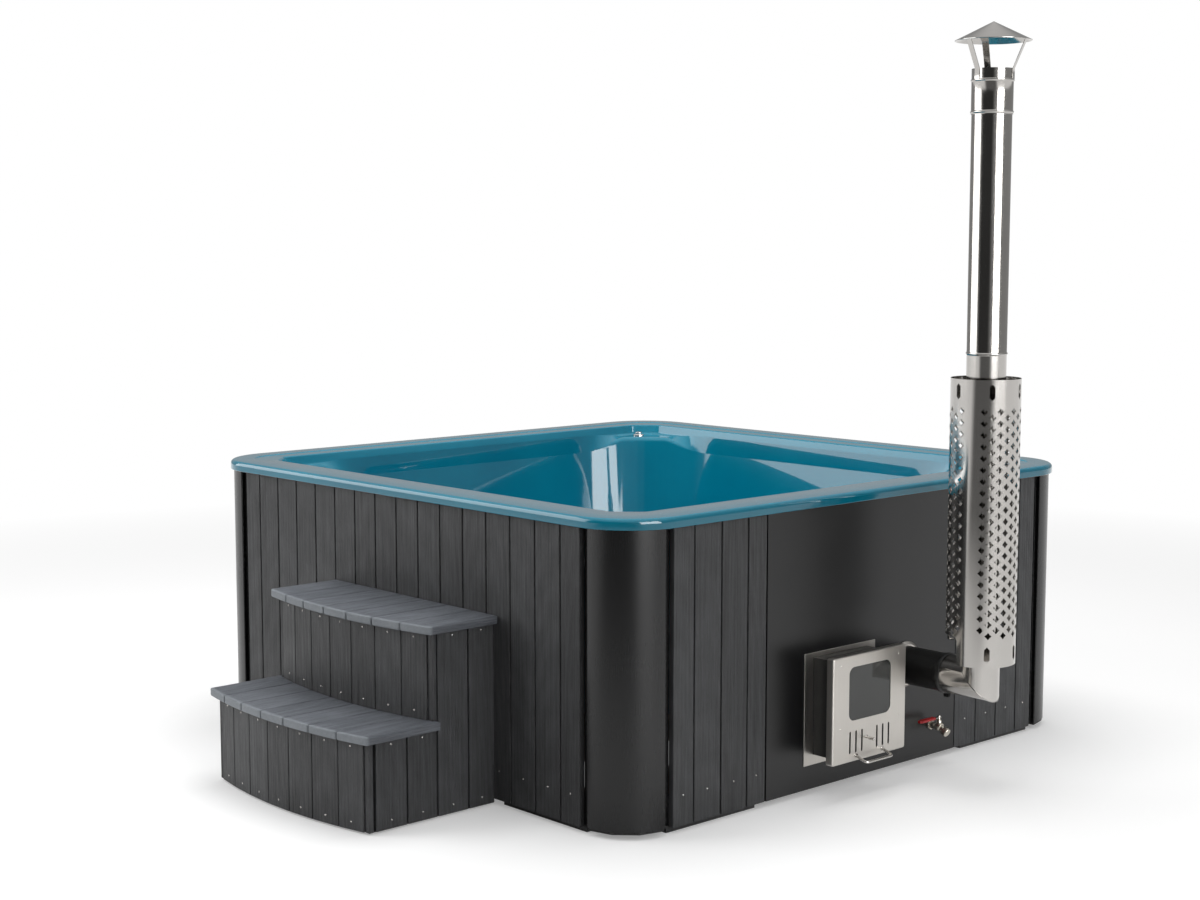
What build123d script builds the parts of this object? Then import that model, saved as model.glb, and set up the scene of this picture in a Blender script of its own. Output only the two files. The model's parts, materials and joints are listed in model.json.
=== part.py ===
from build123d import *
import math
import os

# Fibreglass hot tub with a built-in wood stove, its flue and a pair of steps.
# Millimetres. Origin on the floor at the centre of the square tub, +Z up.
# The steps stand on the -Y side, the stove and its flue on the +X side.

# Sides of small turned parts
fine_sides = 32
pipe_sides = 12

# Tub walls
clad_half = 1134.0
board_thickness = 21.0
board_cover = 120.0
board_gap = 6.0
board_bottom_z = 18.0
board_top_z = 978.0
full_boards = 14
cover_bottom_z = 24.0
corner_radius = 168.0
corner_groove = 36.0
cover_sheet = 3.0
panel_low_y = -512.0
panel_high_y = 475.0
panel_sheet = 2.0

# Fibreglass shell
shell_wall = 8.0
rim_overhang = 22.0
rim_half = clad_half + rim_overhang
rim_radius = 215.0
rim_rise = 12.0
rim_z = board_top_z + rim_rise
rim_bead_height = 3.0
rim_bead_width = 84.0
rim_bead_half = rim_half - rim_bead_width
rim_bead_radius = 140.0
rim_chamfer = 11.0
rim_ease = 4.0
lip_depth = 32.0
lip_bottom_z = rim_z - lip_depth
rim_width = 156.0
mouth_half = rim_half - rim_width
mouth_draft = 12.0
mouth_chamfer = 80.0
ledge_depth = 40.0
ledge_z = rim_z - ledge_depth
ledge_width = 18.0
well_half = mouth_half - ledge_width
well_radius = 440.0
well_draft = 50.0
bench_z = 560.0
footwell_setback = 534.0
footwell_radius = clad_half - footwell_setback
floor_z = 150.0

# Timber frame
timber = 45.0
packer_height = 15.0
bearer_height = 90.0
top_rail_height = 70.0
corner_post = 70.0
post_inner = 493.0
post_inset = 354.0
post_places = (post_inset - clad_half, -post_inner, post_inner, clad_half - post_inset)
joist_inset = 274.0
joist_places = (joist_inset - clad_half, clad_half - joist_inset)
floor_joist_places = (-350.0, 0.0, 350.0)
packer_near = 540.0
packer_inset = 194.0
packer_far = clad_half - packer_inset

# Stove
stove_y = -152.0
neck_width = 270.0
neck_low_z = 134.0
neck_high_z = 460.0
neck_reach = 118.0
neck_front_x = clad_half + neck_reach
neck_wall = 3.0
flange_width = 356.0
flange_low_z = 100.0
flange_high_z = 476.0
flange_sheet = 3.0
firebox_depth = 428.0
firebox_low_y = -300.0
firebox_high_y = 270.0
firebox_low_z = 128.0
firebox_high_z = 464.0
firebox_wall = 4.0
stove_setback = 26.0
stove_front_x = clad_half - stove_setback
jacket_gap = 40.0
jacket_top_gap = 41.0
jacket_side_gap = 30.0
jacket_wall = 4.0
baffle_y = 60.0
baffle_sheet = 5.0
baffle_gap = 110.0
grate_z = 165.0
grate_thickness = 10.0
grate_bars = 9
grate_border = 30.0
grate_leg = 20.0
water_pipe_radius = 25.0
water_pipe_wall = 3.0
water_pipe_heights = (195.0, 450.0)

# Fire door
door_width = 370.0
door_low_z = 126.0
door_high_z = 480.0
door_reach = 131.0
door_front_x = clad_half + door_reach
door_depth = 27.0
door_sheet = 2.0
window_width = 211.0
window_low_z = 263.0
window_high_z = 441.0
window_radius = 25.0
glass_thickness = 5.0
glass_lap = 10.0
retainer_sheet = 2.0
retainer_border = 12.0
rope_width = 10.0
slot_width = 8.0
slot_low_z = 154.0
slot_high_z = 228.0
slot_pitch = 30.0
slot_group_offset = 68.0
damper_travel = 15.0
damper_sheet = 2.0
damper_slack = 0.3
damper_margin = 8.0
peg_radius = 3.0
peg_reach = 42.0
peg_knob_radius = 5.0
peg_knob_length = 24.0
peg_offset_y = -26.0
peg_z = 199.0
handle_radius = 4.5
handle_bend = 12.0
handle_bend_share = 0.22
handle_washer_radius = 8.5
handle_span = 134.0
handle_reach = 45.0
handle_drop = 14.0
handle_z = 143.0
hinge_setback = 21.0
hinge_x = door_front_x - hinge_setback
hinge_drop = 7.5
hinge_z = door_high_z - hinge_drop
hinge_pin_radius = 3.0
hinge_running = 0.05
hinge_knuckle_radius = 5.2
hinge_offset = 100.0
hinge_knuckle_length = 12.0
hinge_ear_length = 16.0
hinge_foot_back = 2.7

# Flue and chimney
flue_y = 190.0
flue_z = 365.0
flue_radius = 65.0
flue_sheet = 2.0
chimney_reach = 316.0
chimney_x = clad_half + chimney_reach
flue_pipe_reach = 184.0
flue_pipe_end_x = clad_half + flue_pipe_reach
collar_radius = 80.0
collar_depth = 12.0
clamp_radius = 70.0
clamp_width = 22.0
clamp_lug = 10.0
elbow_rise = 85.0
elbow_top_z = flue_z + elbow_rise
lower_pipe_length = 996.0
joint_z = elbow_top_z + lower_pipe_length
upper_pipe_length = 854.0
pipe_top_z = joint_z + upper_pipe_length
sleeve_lap = 78.0
sleeve_low_z = pipe_top_z - sleeve_lap
sleeve_rise = 68.0
sleeve_top_z = pipe_top_z + sleeve_rise
bead_radius = 2.5
sleeve_bead_drop = 37.0
sleeve_bead_z = sleeve_top_z - sleeve_bead_drop
guard_radius = 115.0
guard_sheet = 1.5
guard_lap = 22.0
guard_low_z = elbow_top_z - guard_lap
guard_length = 944.0
guard_high_z = guard_low_z + guard_length
guard_facets = 27
guard_columns = 25
guard_rows = 12
guard_hole_width = 23.0
guard_hole_height = 32.0
guard_low_border = 106.0
guard_first_row_z = guard_low_z + guard_low_border
guard_high_border = 104.0
guard_last_row_z = guard_high_z - guard_high_border
guard_first_angle = -55.0
guard_slot_count = 6
guard_slot_width = 19.0
guard_slot_height = 51.0
guard_slot_angle = -43.0
guard_notch_x = -11.0
guard_notch_height = 77.0
guard_notch_high_z = guard_low_z + guard_notch_height
guard_slot_inset = 42.0
bracket_width = 16.0
bracket_height = 12.0
bracket_inset = 78.0
cone_radius = 123.0
cone_gap = 88.0
cone_low_z = sleeve_top_z + cone_gap
cone_height = 64.0
cone_high_z = cone_low_z + cone_height
cone_sheet = 1.5
cone_tip_radius = 3.0
strap_width = 22.0
strap_sheet = 2.0
strap_spread = 42.0
strap_angle = 20.0

# Drain
drain_x = 400.0
drain_y = 335.0
drain_z = 128.0
drain_pipe_radius = 14.0
drain_pipe_wall = 3.0
drain_grille_radius = 28.0
drain_grille_height = 4.0
drain_grille_slot = 3.0
drain_grille_slots = 3
drain_cup_wall = 2.0
valve_reach = 41.0
valve_x = clad_half + valve_reach
valve_radius = 13.0
valve_chamber_radius = 15.5
valve_chamber_half = 14.5
valve_nut_radius = 18.0
valve_nut_depth = 9.0
valve_bore_radius = 7.5
plug_radius = 11.0
plug_clearance = 0.3
stem_radius = 5.0
stem_running = 0.05
stem_rise = 32.0
stem_neck_radius = 8.0
stem_neck_gap = 8.0
lever_length = 108.0
lever_width = 15.0
lever_thickness = 3.0
grip_thickness = 3.0
grip_start = 30.0
lever_nut_radius = 6.0
lever_nut_height = 4.0
outlet_tilt = 25.0
outlet_length = 24.0
outlet_start = 14.0
outlet_radius = 12.0
cap_radius = 15.5
cap_gap = 8.0
cap_running = 0.3
cap_length = 20.0

# Air button on the back corner ledge
button_inset_x = 209.0
button_inset_y = 249.0
button_x = button_inset_x - clad_half
button_y = clad_half - button_inset_y
button_radius = 15.0
button_rise = 9.0
button_travel = 4.0
button_running = 0.3
bezel_radius = 26.0
bezel_height = 8.0

# Steps
steps_x = 91.0
steps_width = 852.0
lower_depth = 498.0
upper_depth = 250.0
lower_front_y = -clad_half - lower_depth
upper_front_y = -clad_half - upper_depth
step_bow = 50.0
lower_tread_z = 317.0
upper_tread_z = 625.0
tread_thickness = 27.0
tread_overhang = 22.0
tread_board_gap = 4.0
tread_board_count = 7
riser_joints = 6
riser_gap = 3.6
step_board_bottom_z = 6.0
trim_width = 17.0
step_rail_height = 60.0
side_board_depths = (105.0, 231.0, 350.0, 473.0)

parts = {}


def block(x0, x1, y0, y1, z0, z1):
    """Box between two opposite corners."""
    size = Box(x1 - x0, y1 - y0, z1 - z0)
    return Pos((x0 + x1) / 2, (y0 + y1) / 2, (z0 + z1) / 2) * size


def prism(sketch, z0, z1):
    """A plan outline raised from one height to another."""
    return Pos(0, 0, z0) * extrude(sketch, z1 - z0)


def rounded_square(half, radius):
    return RectangleRounded(2 * half, 2 * half, radius)


def chamfered_square(half):
    """Square mouth whose corners are cut flat."""
    outline = Rectangle(2 * half, 2 * half)
    return chamfer(outline.vertices(), mouth_chamfer)


def tapered(low, high, z0, z1):
    """Straight-sided solid between two plan outlines."""
    return loft([Pos(0, 0, z0) * low, Pos(0, 0, z1) * high], ruled=True)


def cylinder_x(radius, x0, x1, y, z):
    """Round bar that runs along X."""
    return Pos((x0 + x1) / 2, y, z) * Rot(0, 90, 0) * Cylinder(radius, x1 - x0)


def cylinder_z(radius, z0, z1, x, y):
    """Round bar that stands upright."""
    return Pos(x, y, (z0 + z1) / 2) * Cylinder(radius, z1 - z0)


def many_sided(radius, sides=fine_sides):
    """Outline of a small turned part, just inside its round."""
    return RegularPolygon(radius, sides)


def around(radius, sides=fine_sides):
    """Outline just outside a round of this radius, for a bore."""
    return RegularPolygon(radius / math.cos(math.pi / sides), sides)


def facing_x(outline, x0, x1, y, z):
    """An outline in the YZ plane pushed along X."""
    face = Plane(origin=(x0, y, z), x_dir=(0, 1, 0), z_dir=(1, 0, 0)) * outline
    return extrude(face, x1 - x0, dir=(1, 0, 0))


def four_sides(piece):
    """One copy of a piece on each side of the square tub."""
    return [Rot(0, 0, 90 * turn) * piece for turn in range(4)]


def solids_of(pieces):
    """Separate solids, gathered as one group."""
    found = []
    for piece in pieces:
        found.extend(piece.solids())
    return Compound(children=found)


def keep(name, *pieces):
    """Store a sub-part under its node name."""
    parts[name] = solids_of(pieces)


def basin(grow):
    """The water space, or its outer skin when grown by the wall."""
    low = ledge_z - grow
    height = rim_z + rim_bead_height - low
    slope = math.degrees(math.atan2(mouth_draft, rim_z + rim_bead_height - ledge_z))
    outline = chamfered_square(mouth_half - mouth_draft + grow)
    mouth = Pos(0, 0, low) * extrude(outline, height, taper=-slope)
    radius = well_radius + grow
    bench_low = rounded_square(well_half - well_draft + grow, radius)
    bench_high = rounded_square(well_half + grow, radius)
    well = tapered(bench_low, bench_high, bench_z - grow, ledge_z)
    footwell = prism(Circle(footwell_radius + grow), floor_z - grow, bench_z)
    return mouth + well + footwell


def rim_flange():
    """Rim flange with its raised outer bead and turned-down lip."""
    flange = prism(rounded_square(rim_half, rim_radius), lip_bottom_z, rim_z + rim_bead_height)
    top_edges = flange.edges().group_by(Axis.Z)[-1]
    flange = chamfer(top_edges, rim_chamfer)
    flange = chamfer(flange.edges().group_by(Axis.Z)[-1], rim_ease)
    bead_inside = rounded_square(rim_bead_half, rim_bead_radius)
    flange -= prism(bead_inside, rim_z, rim_z + 2 * rim_bead_height)
    return flange


def make_shell():
    """Moulded shell: rim, mouth, corner ledges, well, bench and footwell."""
    outer_skin = basin(shell_wall)
    lip_radius = rim_radius - shell_wall
    under_rim = prism(rounded_square(rim_half - shell_wall, lip_radius), lip_bottom_z, rim_z - shell_wall)
    rim = rim_flange() - under_rim
    shell = rim + outer_skin - basin(0)
    for height in water_pipe_heights:
        bore = water_pipe_radius - water_pipe_wall
        shell -= cylinder_x(bore, 0, stove_front_x - firebox_depth, 0, height)
    stem = drain_pipe_radius
    shell -= cylinder_z(stem, floor_z - 2 * shell_wall, floor_z + shell_wall, drain_x, drain_y)
    keep("shell", shell)


def make_base():
    """Bearers, joists, packers and corner blocks that carry the tub."""
    low = packer_height
    high = low + bearer_height
    face = clad_half - board_thickness
    straight = clad_half - corner_radius
    bearer = block(-straight, straight, face - timber, face, low, high)
    keep("base_bearers", *four_sides(bearer))
    side = face - timber
    joists = []
    for x in joist_places:
        joists.append(block(x - timber / 2, x + timber / 2, -side, side, low, high))
    for x in floor_joist_places:
        joists.append(block(x - timber / 2, x + timber / 2, -side, side, low, floor_z - shell_wall))
    keep("floor_joists", *joists)
    packers = [block(-timber, timber, -timber / 2, timber / 2, 0, low)]
    near = block(-packer_far, -packer_near, face - timber, face, 0, low)
    far = block(packer_near, packer_far, face - timber, face, 0, low)
    packers += four_sides(near) + four_sides(far)
    keep("floor_packers", *packers)


def quarter_disc(radius):
    """Quarter round in plan, in the +X +Y corner of the tub."""
    centre = clad_half - corner_radius
    disc = Pos(centre, centre) * Circle(radius)
    square = Pos(centre + radius / 2, centre + radius / 2) * Rectangle(radius, radius)
    return disc & square


def make_frame():
    """Corner blocks and posts, wall posts and the rails under the rim."""
    low = packer_height
    bearer_top = low + bearer_height
    rail_top = rim_z - shell_wall
    rail_low = rail_top - top_rail_height
    face = clad_half - board_thickness
    straight = clad_half - corner_radius
    reach = corner_radius - cover_sheet
    turns = [math.radians(30 * count) for count in range(4)]
    round_points = []
    for turn in turns:
        round_points.append((straight + reach * math.cos(turn), straight + reach * math.sin(turn)))
    plan = Polygon((straight, straight), *round_points, align=None)
    blocks = four_sides(prism(plan, low, bearer_top)) + four_sides(prism(plan, rail_low, rail_top))
    keep("corner_blocks", *blocks)
    post = block(straight, straight + corner_post, straight, straight + corner_post, bearer_top, rail_low)
    keep("corner_posts", *four_sides(post))
    wall_posts = []
    for place in post_places:
        wall_post = block(place - timber / 2, place + timber / 2, face - timber, face, bearer_top, rail_low)
        wall_posts += four_sides(wall_post)
    keep("wall_posts", *wall_posts)
    rail = block(-straight, straight, face - timber, face, rail_low, rail_top)
    keep("top_rails", *four_sides(rail))


def wall_boards(edges):
    """Upright boards on the -Y face between pairs of edges."""
    boards = []
    for low, high in edges:
        x0 = low + board_gap / 2
        x1 = high - board_gap / 2
        inside = -clad_half + board_thickness
        boards.append(block(x0, x1, -clad_half, inside, board_bottom_z, board_top_z))
    return boards


def board_edges(low, high):
    """Joints of the boards that lie between two limits along a face."""
    half_run = full_boards * board_cover / 2
    joints = [-half_run + board_cover * count for count in range(full_boards + 1)]
    least = board_cover / 2
    inner = [joint for joint in joints if low + least < joint < high - least]
    marks = [low] + inner + [high]
    return list(zip(marks[:-1], marks[1:]))


def make_cladding():
    """Boards on four faces, corner covers and the stove panel."""
    limit = clad_half - corner_radius - corner_groove + board_gap / 2
    whole = wall_boards(board_edges(-limit, limit))
    keep("front_boards", *whole)
    keep("left_boards", *[Rot(0, 0, -90) * board for board in whole])
    keep("back_boards", *[Rot(0, 0, 180) * board for board in whole])
    near = wall_boards(board_edges(-limit, panel_low_y))
    far = wall_boards(board_edges(panel_high_y, limit))
    keep("right_boards", *[Rot(0, 0, 90) * board for board in near + far])


def make_corner_covers():
    """Rounded corner sheets with stepped edges that lie on the rails."""
    centre = clad_half - corner_radius
    face = clad_half - board_thickness
    sheet = quarter_disc(corner_radius) - quarter_disc(corner_radius - cover_sheet)
    flange_start = centre - corner_groove + board_gap / 2
    inner = cover_sheet
    step = Pos(centre - inner / 2, (face + clad_half) / 2) * Rectangle(inner, board_thickness)
    width = centre - flange_start
    flange = Pos(centre - width / 2, face + inner / 2) * Rectangle(width, inner)
    one_side = step + flange
    other_side = mirror(one_side, Plane(origin=(0, 0, 0), z_dir=(1, -1, 0)))
    cover = prism(sheet + one_side + other_side, cover_bottom_z, board_top_z)
    keep("corner_covers", *four_sides(cover))


def make_stove_panel():
    """Folded sheet round the stove, with its three openings."""
    low = panel_low_y + board_gap / 2
    high = panel_high_y - board_gap / 2
    face = clad_half - board_thickness
    panel = block(face, clad_half, low, high, board_bottom_z, board_top_z)
    sheet = panel_sheet
    inside = block(face - 1, clad_half - sheet, low + sheet, high - sheet,
                   board_bottom_z + sheet, board_top_z - sheet)
    panel -= inside
    half = neck_width / 2 + damper_slack
    slack = damper_slack
    panel -= block(face, clad_half + 1, stove_y - half, stove_y + half,
                   neck_low_z - slack, neck_high_z + slack)
    panel -= cylinder_x(flue_radius + slack, face, clad_half + 1, flue_y, flue_z)
    panel -= cylinder_x(drain_pipe_radius + slack, face, clad_half + 1, drain_y, drain_z)
    keep("stove_panel", panel)


def make_stove_body():
    """Firebox inside its water jacket, with grate, baffle and pipes."""
    back_x = stove_front_x - firebox_depth
    wall = firebox_wall
    firebox = block(back_x, stove_front_x, firebox_low_y, firebox_high_y, firebox_low_z, firebox_high_z)
    firebox -= block(back_x + wall, stove_front_x - wall, firebox_low_y + wall, firebox_high_y - wall,
                     firebox_low_z + wall, firebox_high_z - wall)
    half = neck_width / 2 - neck_wall
    firebox -= block(stove_front_x - 2 * wall, stove_front_x + 1, stove_y - half, stove_y + half,
                     neck_low_z + neck_wall, neck_high_z - neck_wall)
    firebox -= cylinder_x(flue_radius - flue_sheet, stove_front_x - 2 * wall, stove_front_x + 1,
                          flue_y, flue_z)
    keep("firebox", firebox)
    baffle = block(back_x + wall + baffle_gap, stove_front_x - wall, baffle_y - baffle_sheet / 2,
                   baffle_y + baffle_sheet / 2, firebox_low_z + wall, firebox_high_z - wall)
    keep("baffle_plate", baffle)
    outer = block(back_x - jacket_gap, stove_front_x, firebox_low_y - jacket_side_gap,
                  firebox_high_y + jacket_side_gap, packer_height + bearer_height,
                  firebox_high_z + jacket_top_gap)
    skin = jacket_wall
    inner = block(back_x - jacket_gap + skin, stove_front_x - skin, firebox_low_y - jacket_side_gap + skin,
                  firebox_high_y + jacket_side_gap - skin, packer_height + bearer_height + skin,
                  firebox_high_z + jacket_top_gap - skin)
    jacket = outer - inner
    jacket -= block(back_x, stove_front_x + 1, firebox_low_y, firebox_high_y, firebox_low_z, firebox_high_z)
    pipes = []
    for height in water_pipe_heights:
        bore = water_pipe_radius - water_pipe_wall
        jacket -= cylinder_x(bore, back_x - jacket_gap - 1, back_x - 1, 0, height)
        pipe = facing_x(around(bore, pipe_sides), footwell_radius / 2, back_x - jacket_gap, 0, height)
        pipe = facing_x(many_sided(water_pipe_radius, pipe_sides), footwell_radius / 2,
                        back_x - jacket_gap, 0, height) - pipe
        pipes.append(pipe - basin(shell_wall))
    keep("water_jacket", jacket)
    keep("circulation_pipes", *pipes)


def make_grate():
    """Cast grate with long air gaps and four short legs."""
    back_x = stove_front_x - firebox_depth + firebox_wall
    low_y = firebox_low_y + firebox_wall
    high_y = baffle_y - baffle_sheet / 2
    top = grate_z
    grate = block(back_x, stove_front_x - firebox_wall, low_y, high_y, top - grate_thickness, top)
    pitch = (high_y - low_y) / grate_bars
    margin = grate_border
    for count in range(grate_bars):
        y = low_y + pitch * (count + 0.5)
        grate -= block(back_x + margin, stove_front_x - firebox_wall - margin, y - pitch / 4, y + pitch / 4,
                       top - 2 * grate_thickness, top + 1)
    floor = firebox_low_z + firebox_wall
    leg = grate_leg
    for x in (back_x, stove_front_x - firebox_wall - leg):
        for y in (low_y, high_y - leg):
            grate += block(x, x + leg, y, y + leg, floor, top - grate_thickness)
    keep("fire_grate", grate)


def make_neck():
    """Black mouth of the stove with its wall flange and hinge ears."""
    half = neck_width / 2
    neck = block(stove_front_x, neck_front_x, stove_y - half, stove_y + half, neck_low_z, neck_high_z)
    neck -= block(stove_front_x - 1, neck_front_x + 1, stove_y - half + neck_wall, stove_y + half - neck_wall,
                  neck_low_z + neck_wall, neck_high_z - neck_wall)
    keep("stove_neck", neck)
    slack = damper_slack
    wide = flange_width / 2
    flange = block(clad_half, clad_half + flange_sheet, stove_y - wide, stove_y + wide, flange_low_z,
                   flange_high_z)
    flange -= block(clad_half - 1, clad_half + 2 * flange_sheet, stove_y - half - slack,
                    stove_y + half + slack, neck_low_z - slack, neck_high_z + slack)
    keep("wall_flange", flange)
    ears = []
    pins = []
    for side in (-1, 1):
        y = stove_y + side * hinge_offset
        ear = knuckle(y, hinge_ear_length)
        foot = block(hinge_x - hinge_foot_back, hinge_x + hinge_knuckle_radius, y - hinge_ear_length / 2,
                     y + hinge_ear_length / 2, neck_high_z, hinge_z)
        ears.append(knuckle_bore(ear + foot, y, hinge_ear_length))
        reach = hinge_ear_length + hinge_knuckle_length
        middle = y + side * hinge_knuckle_length / 2
        pins.append(Pos(hinge_x, middle, hinge_z) * Rot(90, 0, 0) * Cylinder(hinge_pin_radius, reach))
    keep("hinge_ears", *ears)
    keep("hinge_pins", *pins)


def knuckle(y, length):
    return Pos(hinge_x, y, hinge_z) * Rot(90, 0, 0) * Cylinder(hinge_knuckle_radius, length)


def knuckle_bore(piece, y, length):
    """A knuckle drilled for the hinge pin with running clearance."""
    bore = Cylinder(hinge_pin_radius + hinge_running, 2 * length)
    return piece - Pos(hinge_x, y, hinge_z) * Rot(90, 0, 0) * bore


def slot_places():
    """Centres of the six air slots across the door."""
    places = []
    for side in (-1, 1):
        for count in (-1, 0, 1):
            places.append(stove_y + side * slot_group_offset + count * slot_pitch)
    return places


def upright_slot(y, x0, x1):
    """Air slot with eased ends, cut along X."""
    middle = (slot_low_z + slot_high_z) / 2
    outline = Rectangle(slot_width, slot_high_z - slot_low_z)
    outline = chamfer(outline.vertices(), slot_width / 3)
    return facing_x(outline, x0, x1, y, middle)


def window_prism(grow, x0, x1):
    """The round-cornered window, or a pane that laps it with cut corners."""
    middle = (window_low_z + window_high_z) / 2
    width = window_width + 2 * grow
    height = window_high_z - window_low_z + 2 * grow
    if grow:
        outline = Rectangle(width, height)
        outline = chamfer(outline.vertices(), window_radius / 2)
    else:
        outline = RectangleRounded(width, height, window_radius)
    return facing_x(outline, x0, x1, stove_y, middle)


def make_door():
    """Folded door pan with window, air slots and hinge knuckles."""
    half = door_width / 2
    back_x = door_front_x - door_depth
    pan = block(back_x, door_front_x, stove_y - half, stove_y + half, door_low_z, door_high_z)
    pan -= block(back_x - 1, door_front_x - door_sheet, stove_y - half + door_sheet,
                 stove_y + half - door_sheet, door_low_z + door_sheet, door_high_z - door_sheet)
    pan -= window_prism(0, back_x, door_front_x + 1)
    for y in slot_places():
        pan -= upright_slot(y, back_x, door_front_x + 1)
    peg_y = stove_y + peg_offset_y
    guide_width = damper_travel + 2 * peg_radius + 4 * damper_slack
    guide_height = 2 * peg_radius + 2 * damper_slack
    middle = peg_y + damper_travel / 2
    pan -= facing_x(Rectangle(guide_width, guide_height), back_x, door_front_x + 1, middle, peg_z)
    keep("door_pan", pan)
    knuckles = []
    ear = hinge_ear_length / 2 + damper_slack
    half = hinge_knuckle_length / 2
    for side in (-1, 1):
        y = stove_y + side * (hinge_offset + ear + half)
        tube = knuckle(y, hinge_knuckle_length)
        web = block(hinge_x - hinge_pin_radius, hinge_x + hinge_pin_radius, y - half, y + half,
                    hinge_z, door_high_z - door_sheet)
        knuckles.append(knuckle_bore(tube + web, y, hinge_knuckle_length))
    keep("door_knuckles", *knuckles)


def make_door_fittings():
    """Glass, retainer, rope seal, damper, peg, guides and handle."""
    plate_x = door_front_x - door_sheet
    glass_x = plate_x - glass_thickness
    keep("door_glass", window_prism(glass_lap, glass_x, plate_x))
    retainer = window_prism(retainer_border, glass_x - retainer_sheet, glass_x)
    retainer -= window_prism(1, glass_x - 2 * retainer_sheet, glass_x + 1)
    keep("glass_retainer", retainer)
    half = neck_width / 2 + (rope_width - neck_wall) / 2
    low = neck_low_z - (rope_width - neck_wall) / 2
    high = neck_high_z + (rope_width - neck_wall) / 2
    start = neck_front_x + damper_slack
    rope = block(start, plate_x, stove_y - half, stove_y + half, low, high)
    rope -= block(start - 1, plate_x + 1, stove_y - half + rope_width, stove_y + half - rope_width,
                  low + rope_width, high - rope_width)
    keep("rope_seal", rope)
    places = slot_places()
    low_y = places[0] - slot_width / 2 - damper_margin
    high_y = places[-1] + slot_width / 2 + damper_margin - damper_travel
    low_z = slot_low_z - damper_margin
    high_z = slot_high_z + damper_margin
    front = plate_x - damper_slack
    back = front - damper_sheet
    plate = block(back, front, low_y, high_y, low_z, high_z)
    for y in places:
        plate -= upright_slot(y, back - 1, front + 1)
    keep("damper_plate", plate)
    peg_y = stove_y + peg_offset_y
    tip_x = door_front_x + peg_reach
    peg = facing_x(many_sided(peg_radius, pipe_sides), front, tip_x, peg_y, peg_z)
    peg += facing_x(many_sided(peg_knob_radius, pipe_sides), tip_x - peg_knob_length, tip_x, peg_y, peg_z)
    keep("damper_peg", peg)
    guides = []
    rail = damper_margin
    for base, direction in ((low_z, -1), (high_z, 1)):
        near = base + direction * damper_slack
        far = near + direction * rail / 2
        lip = base - direction * rail / 2
        x_back = back - damper_slack
        web = block(x_back, plate_x, low_y, high_y + damper_travel, min(near, far), max(near, far))
        hook = block(x_back - damper_sheet / 2, x_back, low_y, high_y + damper_travel,
                     min(lip, far), max(lip, far))
        guides.append(web + hook)
    keep("damper_guides", *guides)
    half_span = handle_span / 2
    bar_x = door_front_x + handle_reach
    low = handle_z - handle_drop
    points = [(door_front_x, stove_y - half_span, handle_z), (bar_x, stove_y - half_span, low),
              (bar_x, stove_y + half_span, low), (door_front_x, stove_y + half_span, handle_z)]
    path = Polyline(*eased_corners(points, handle_bend))
    start_plane = Plane(origin=path @ 0, z_dir=path % 0)
    bar = sweep(start_plane * many_sided(handle_radius, pipe_sides), path=path, transition=Transition.RIGHT)
    bar -= block(door_front_x - handle_reach, door_front_x, stove_y - door_width, stove_y + door_width,
                 0, door_high_z)
    for side in (-1, 1):
        washer = many_sided(handle_washer_radius, pipe_sides)
        bar += facing_x(washer, door_front_x, door_front_x + door_sheet, stove_y + side * half_span, handle_z)
    keep("door_handle", bar)


def eased_corners(points, reach):
    """A bent bar's corners, each taken in two short turns."""
    route = [points[0]]
    for before, corner, after in zip(points[:-2], points[1:-1], points[2:]):
        corner = Vector(*corner)
        back = (Vector(*before) - corner).normalized() * reach
        ahead = (Vector(*after) - corner).normalized() * reach
        middle = corner + (back + ahead) * handle_bend_share
        route += [corner + back, middle, corner + ahead]
    return route + [points[-1]]


def ring_z(outer, inner, z0, z1, x, y):
    return cylinder_z(outer, z0, z1, x, y) - cylinder_z(inner, z0 - 1, z1 + 1, x, y)


def ring_x(outer, inner, x0, x1, y, z):
    return cylinder_x(outer, x0, x1, y, z) - cylinder_x(inner, x0 - 1, x1 + 1, y, z)


def make_flue():
    """Wall collar, black pipe, clamp and mitred elbow."""
    inner = flue_radius - flue_sheet
    collar = facing_x(many_sided(collar_radius), clad_half, clad_half + collar_depth, flue_y, flue_z)
    collar -= facing_x(around(flue_radius), clad_half - 1, clad_half + 2 * collar_depth, flue_y, flue_z)
    keep("wall_collar", collar)
    keep("flue_pipe", ring_x(flue_radius, inner, stove_front_x, flue_pipe_end_x, flue_y, flue_z))
    low = flue_pipe_end_x - clamp_width / 2
    clamp = facing_x(many_sided(clamp_radius), low, low + clamp_width, flue_y, flue_z)
    clamp -= facing_x(around(flue_radius), low - 1, low + clamp_width + 1, flue_y, flue_z)
    lug = block(low, low + clamp_width, flue_y - clamp_lug / 2, flue_y + clamp_lug / 2,
                flue_z - clamp_radius - clamp_lug, flue_z - flue_radius - 1)
    keep("flue_clamp", clamp + lug)


def make_elbow():
    """Two pipe lengths that meet on a 45 degree seam."""
    inner = flue_radius - flue_sheet

    def form(radius, extra):
        level = cylinder_x(radius, flue_pipe_end_x - extra, chimney_x + radius, flue_y, flue_z)
        upright = cylinder_z(radius, flue_z - radius, elbow_top_z + extra, chimney_x, flue_y)
        return level & mitre_wedge(upright_side=False), upright & mitre_wedge(upright_side=True)

    outer_level, outer_upright = form(flue_radius, 0)
    inner_level, inner_upright = form(inner, 1)
    elbow = outer_level + outer_upright - inner_level - inner_upright
    keep("flue_elbow", elbow)


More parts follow.
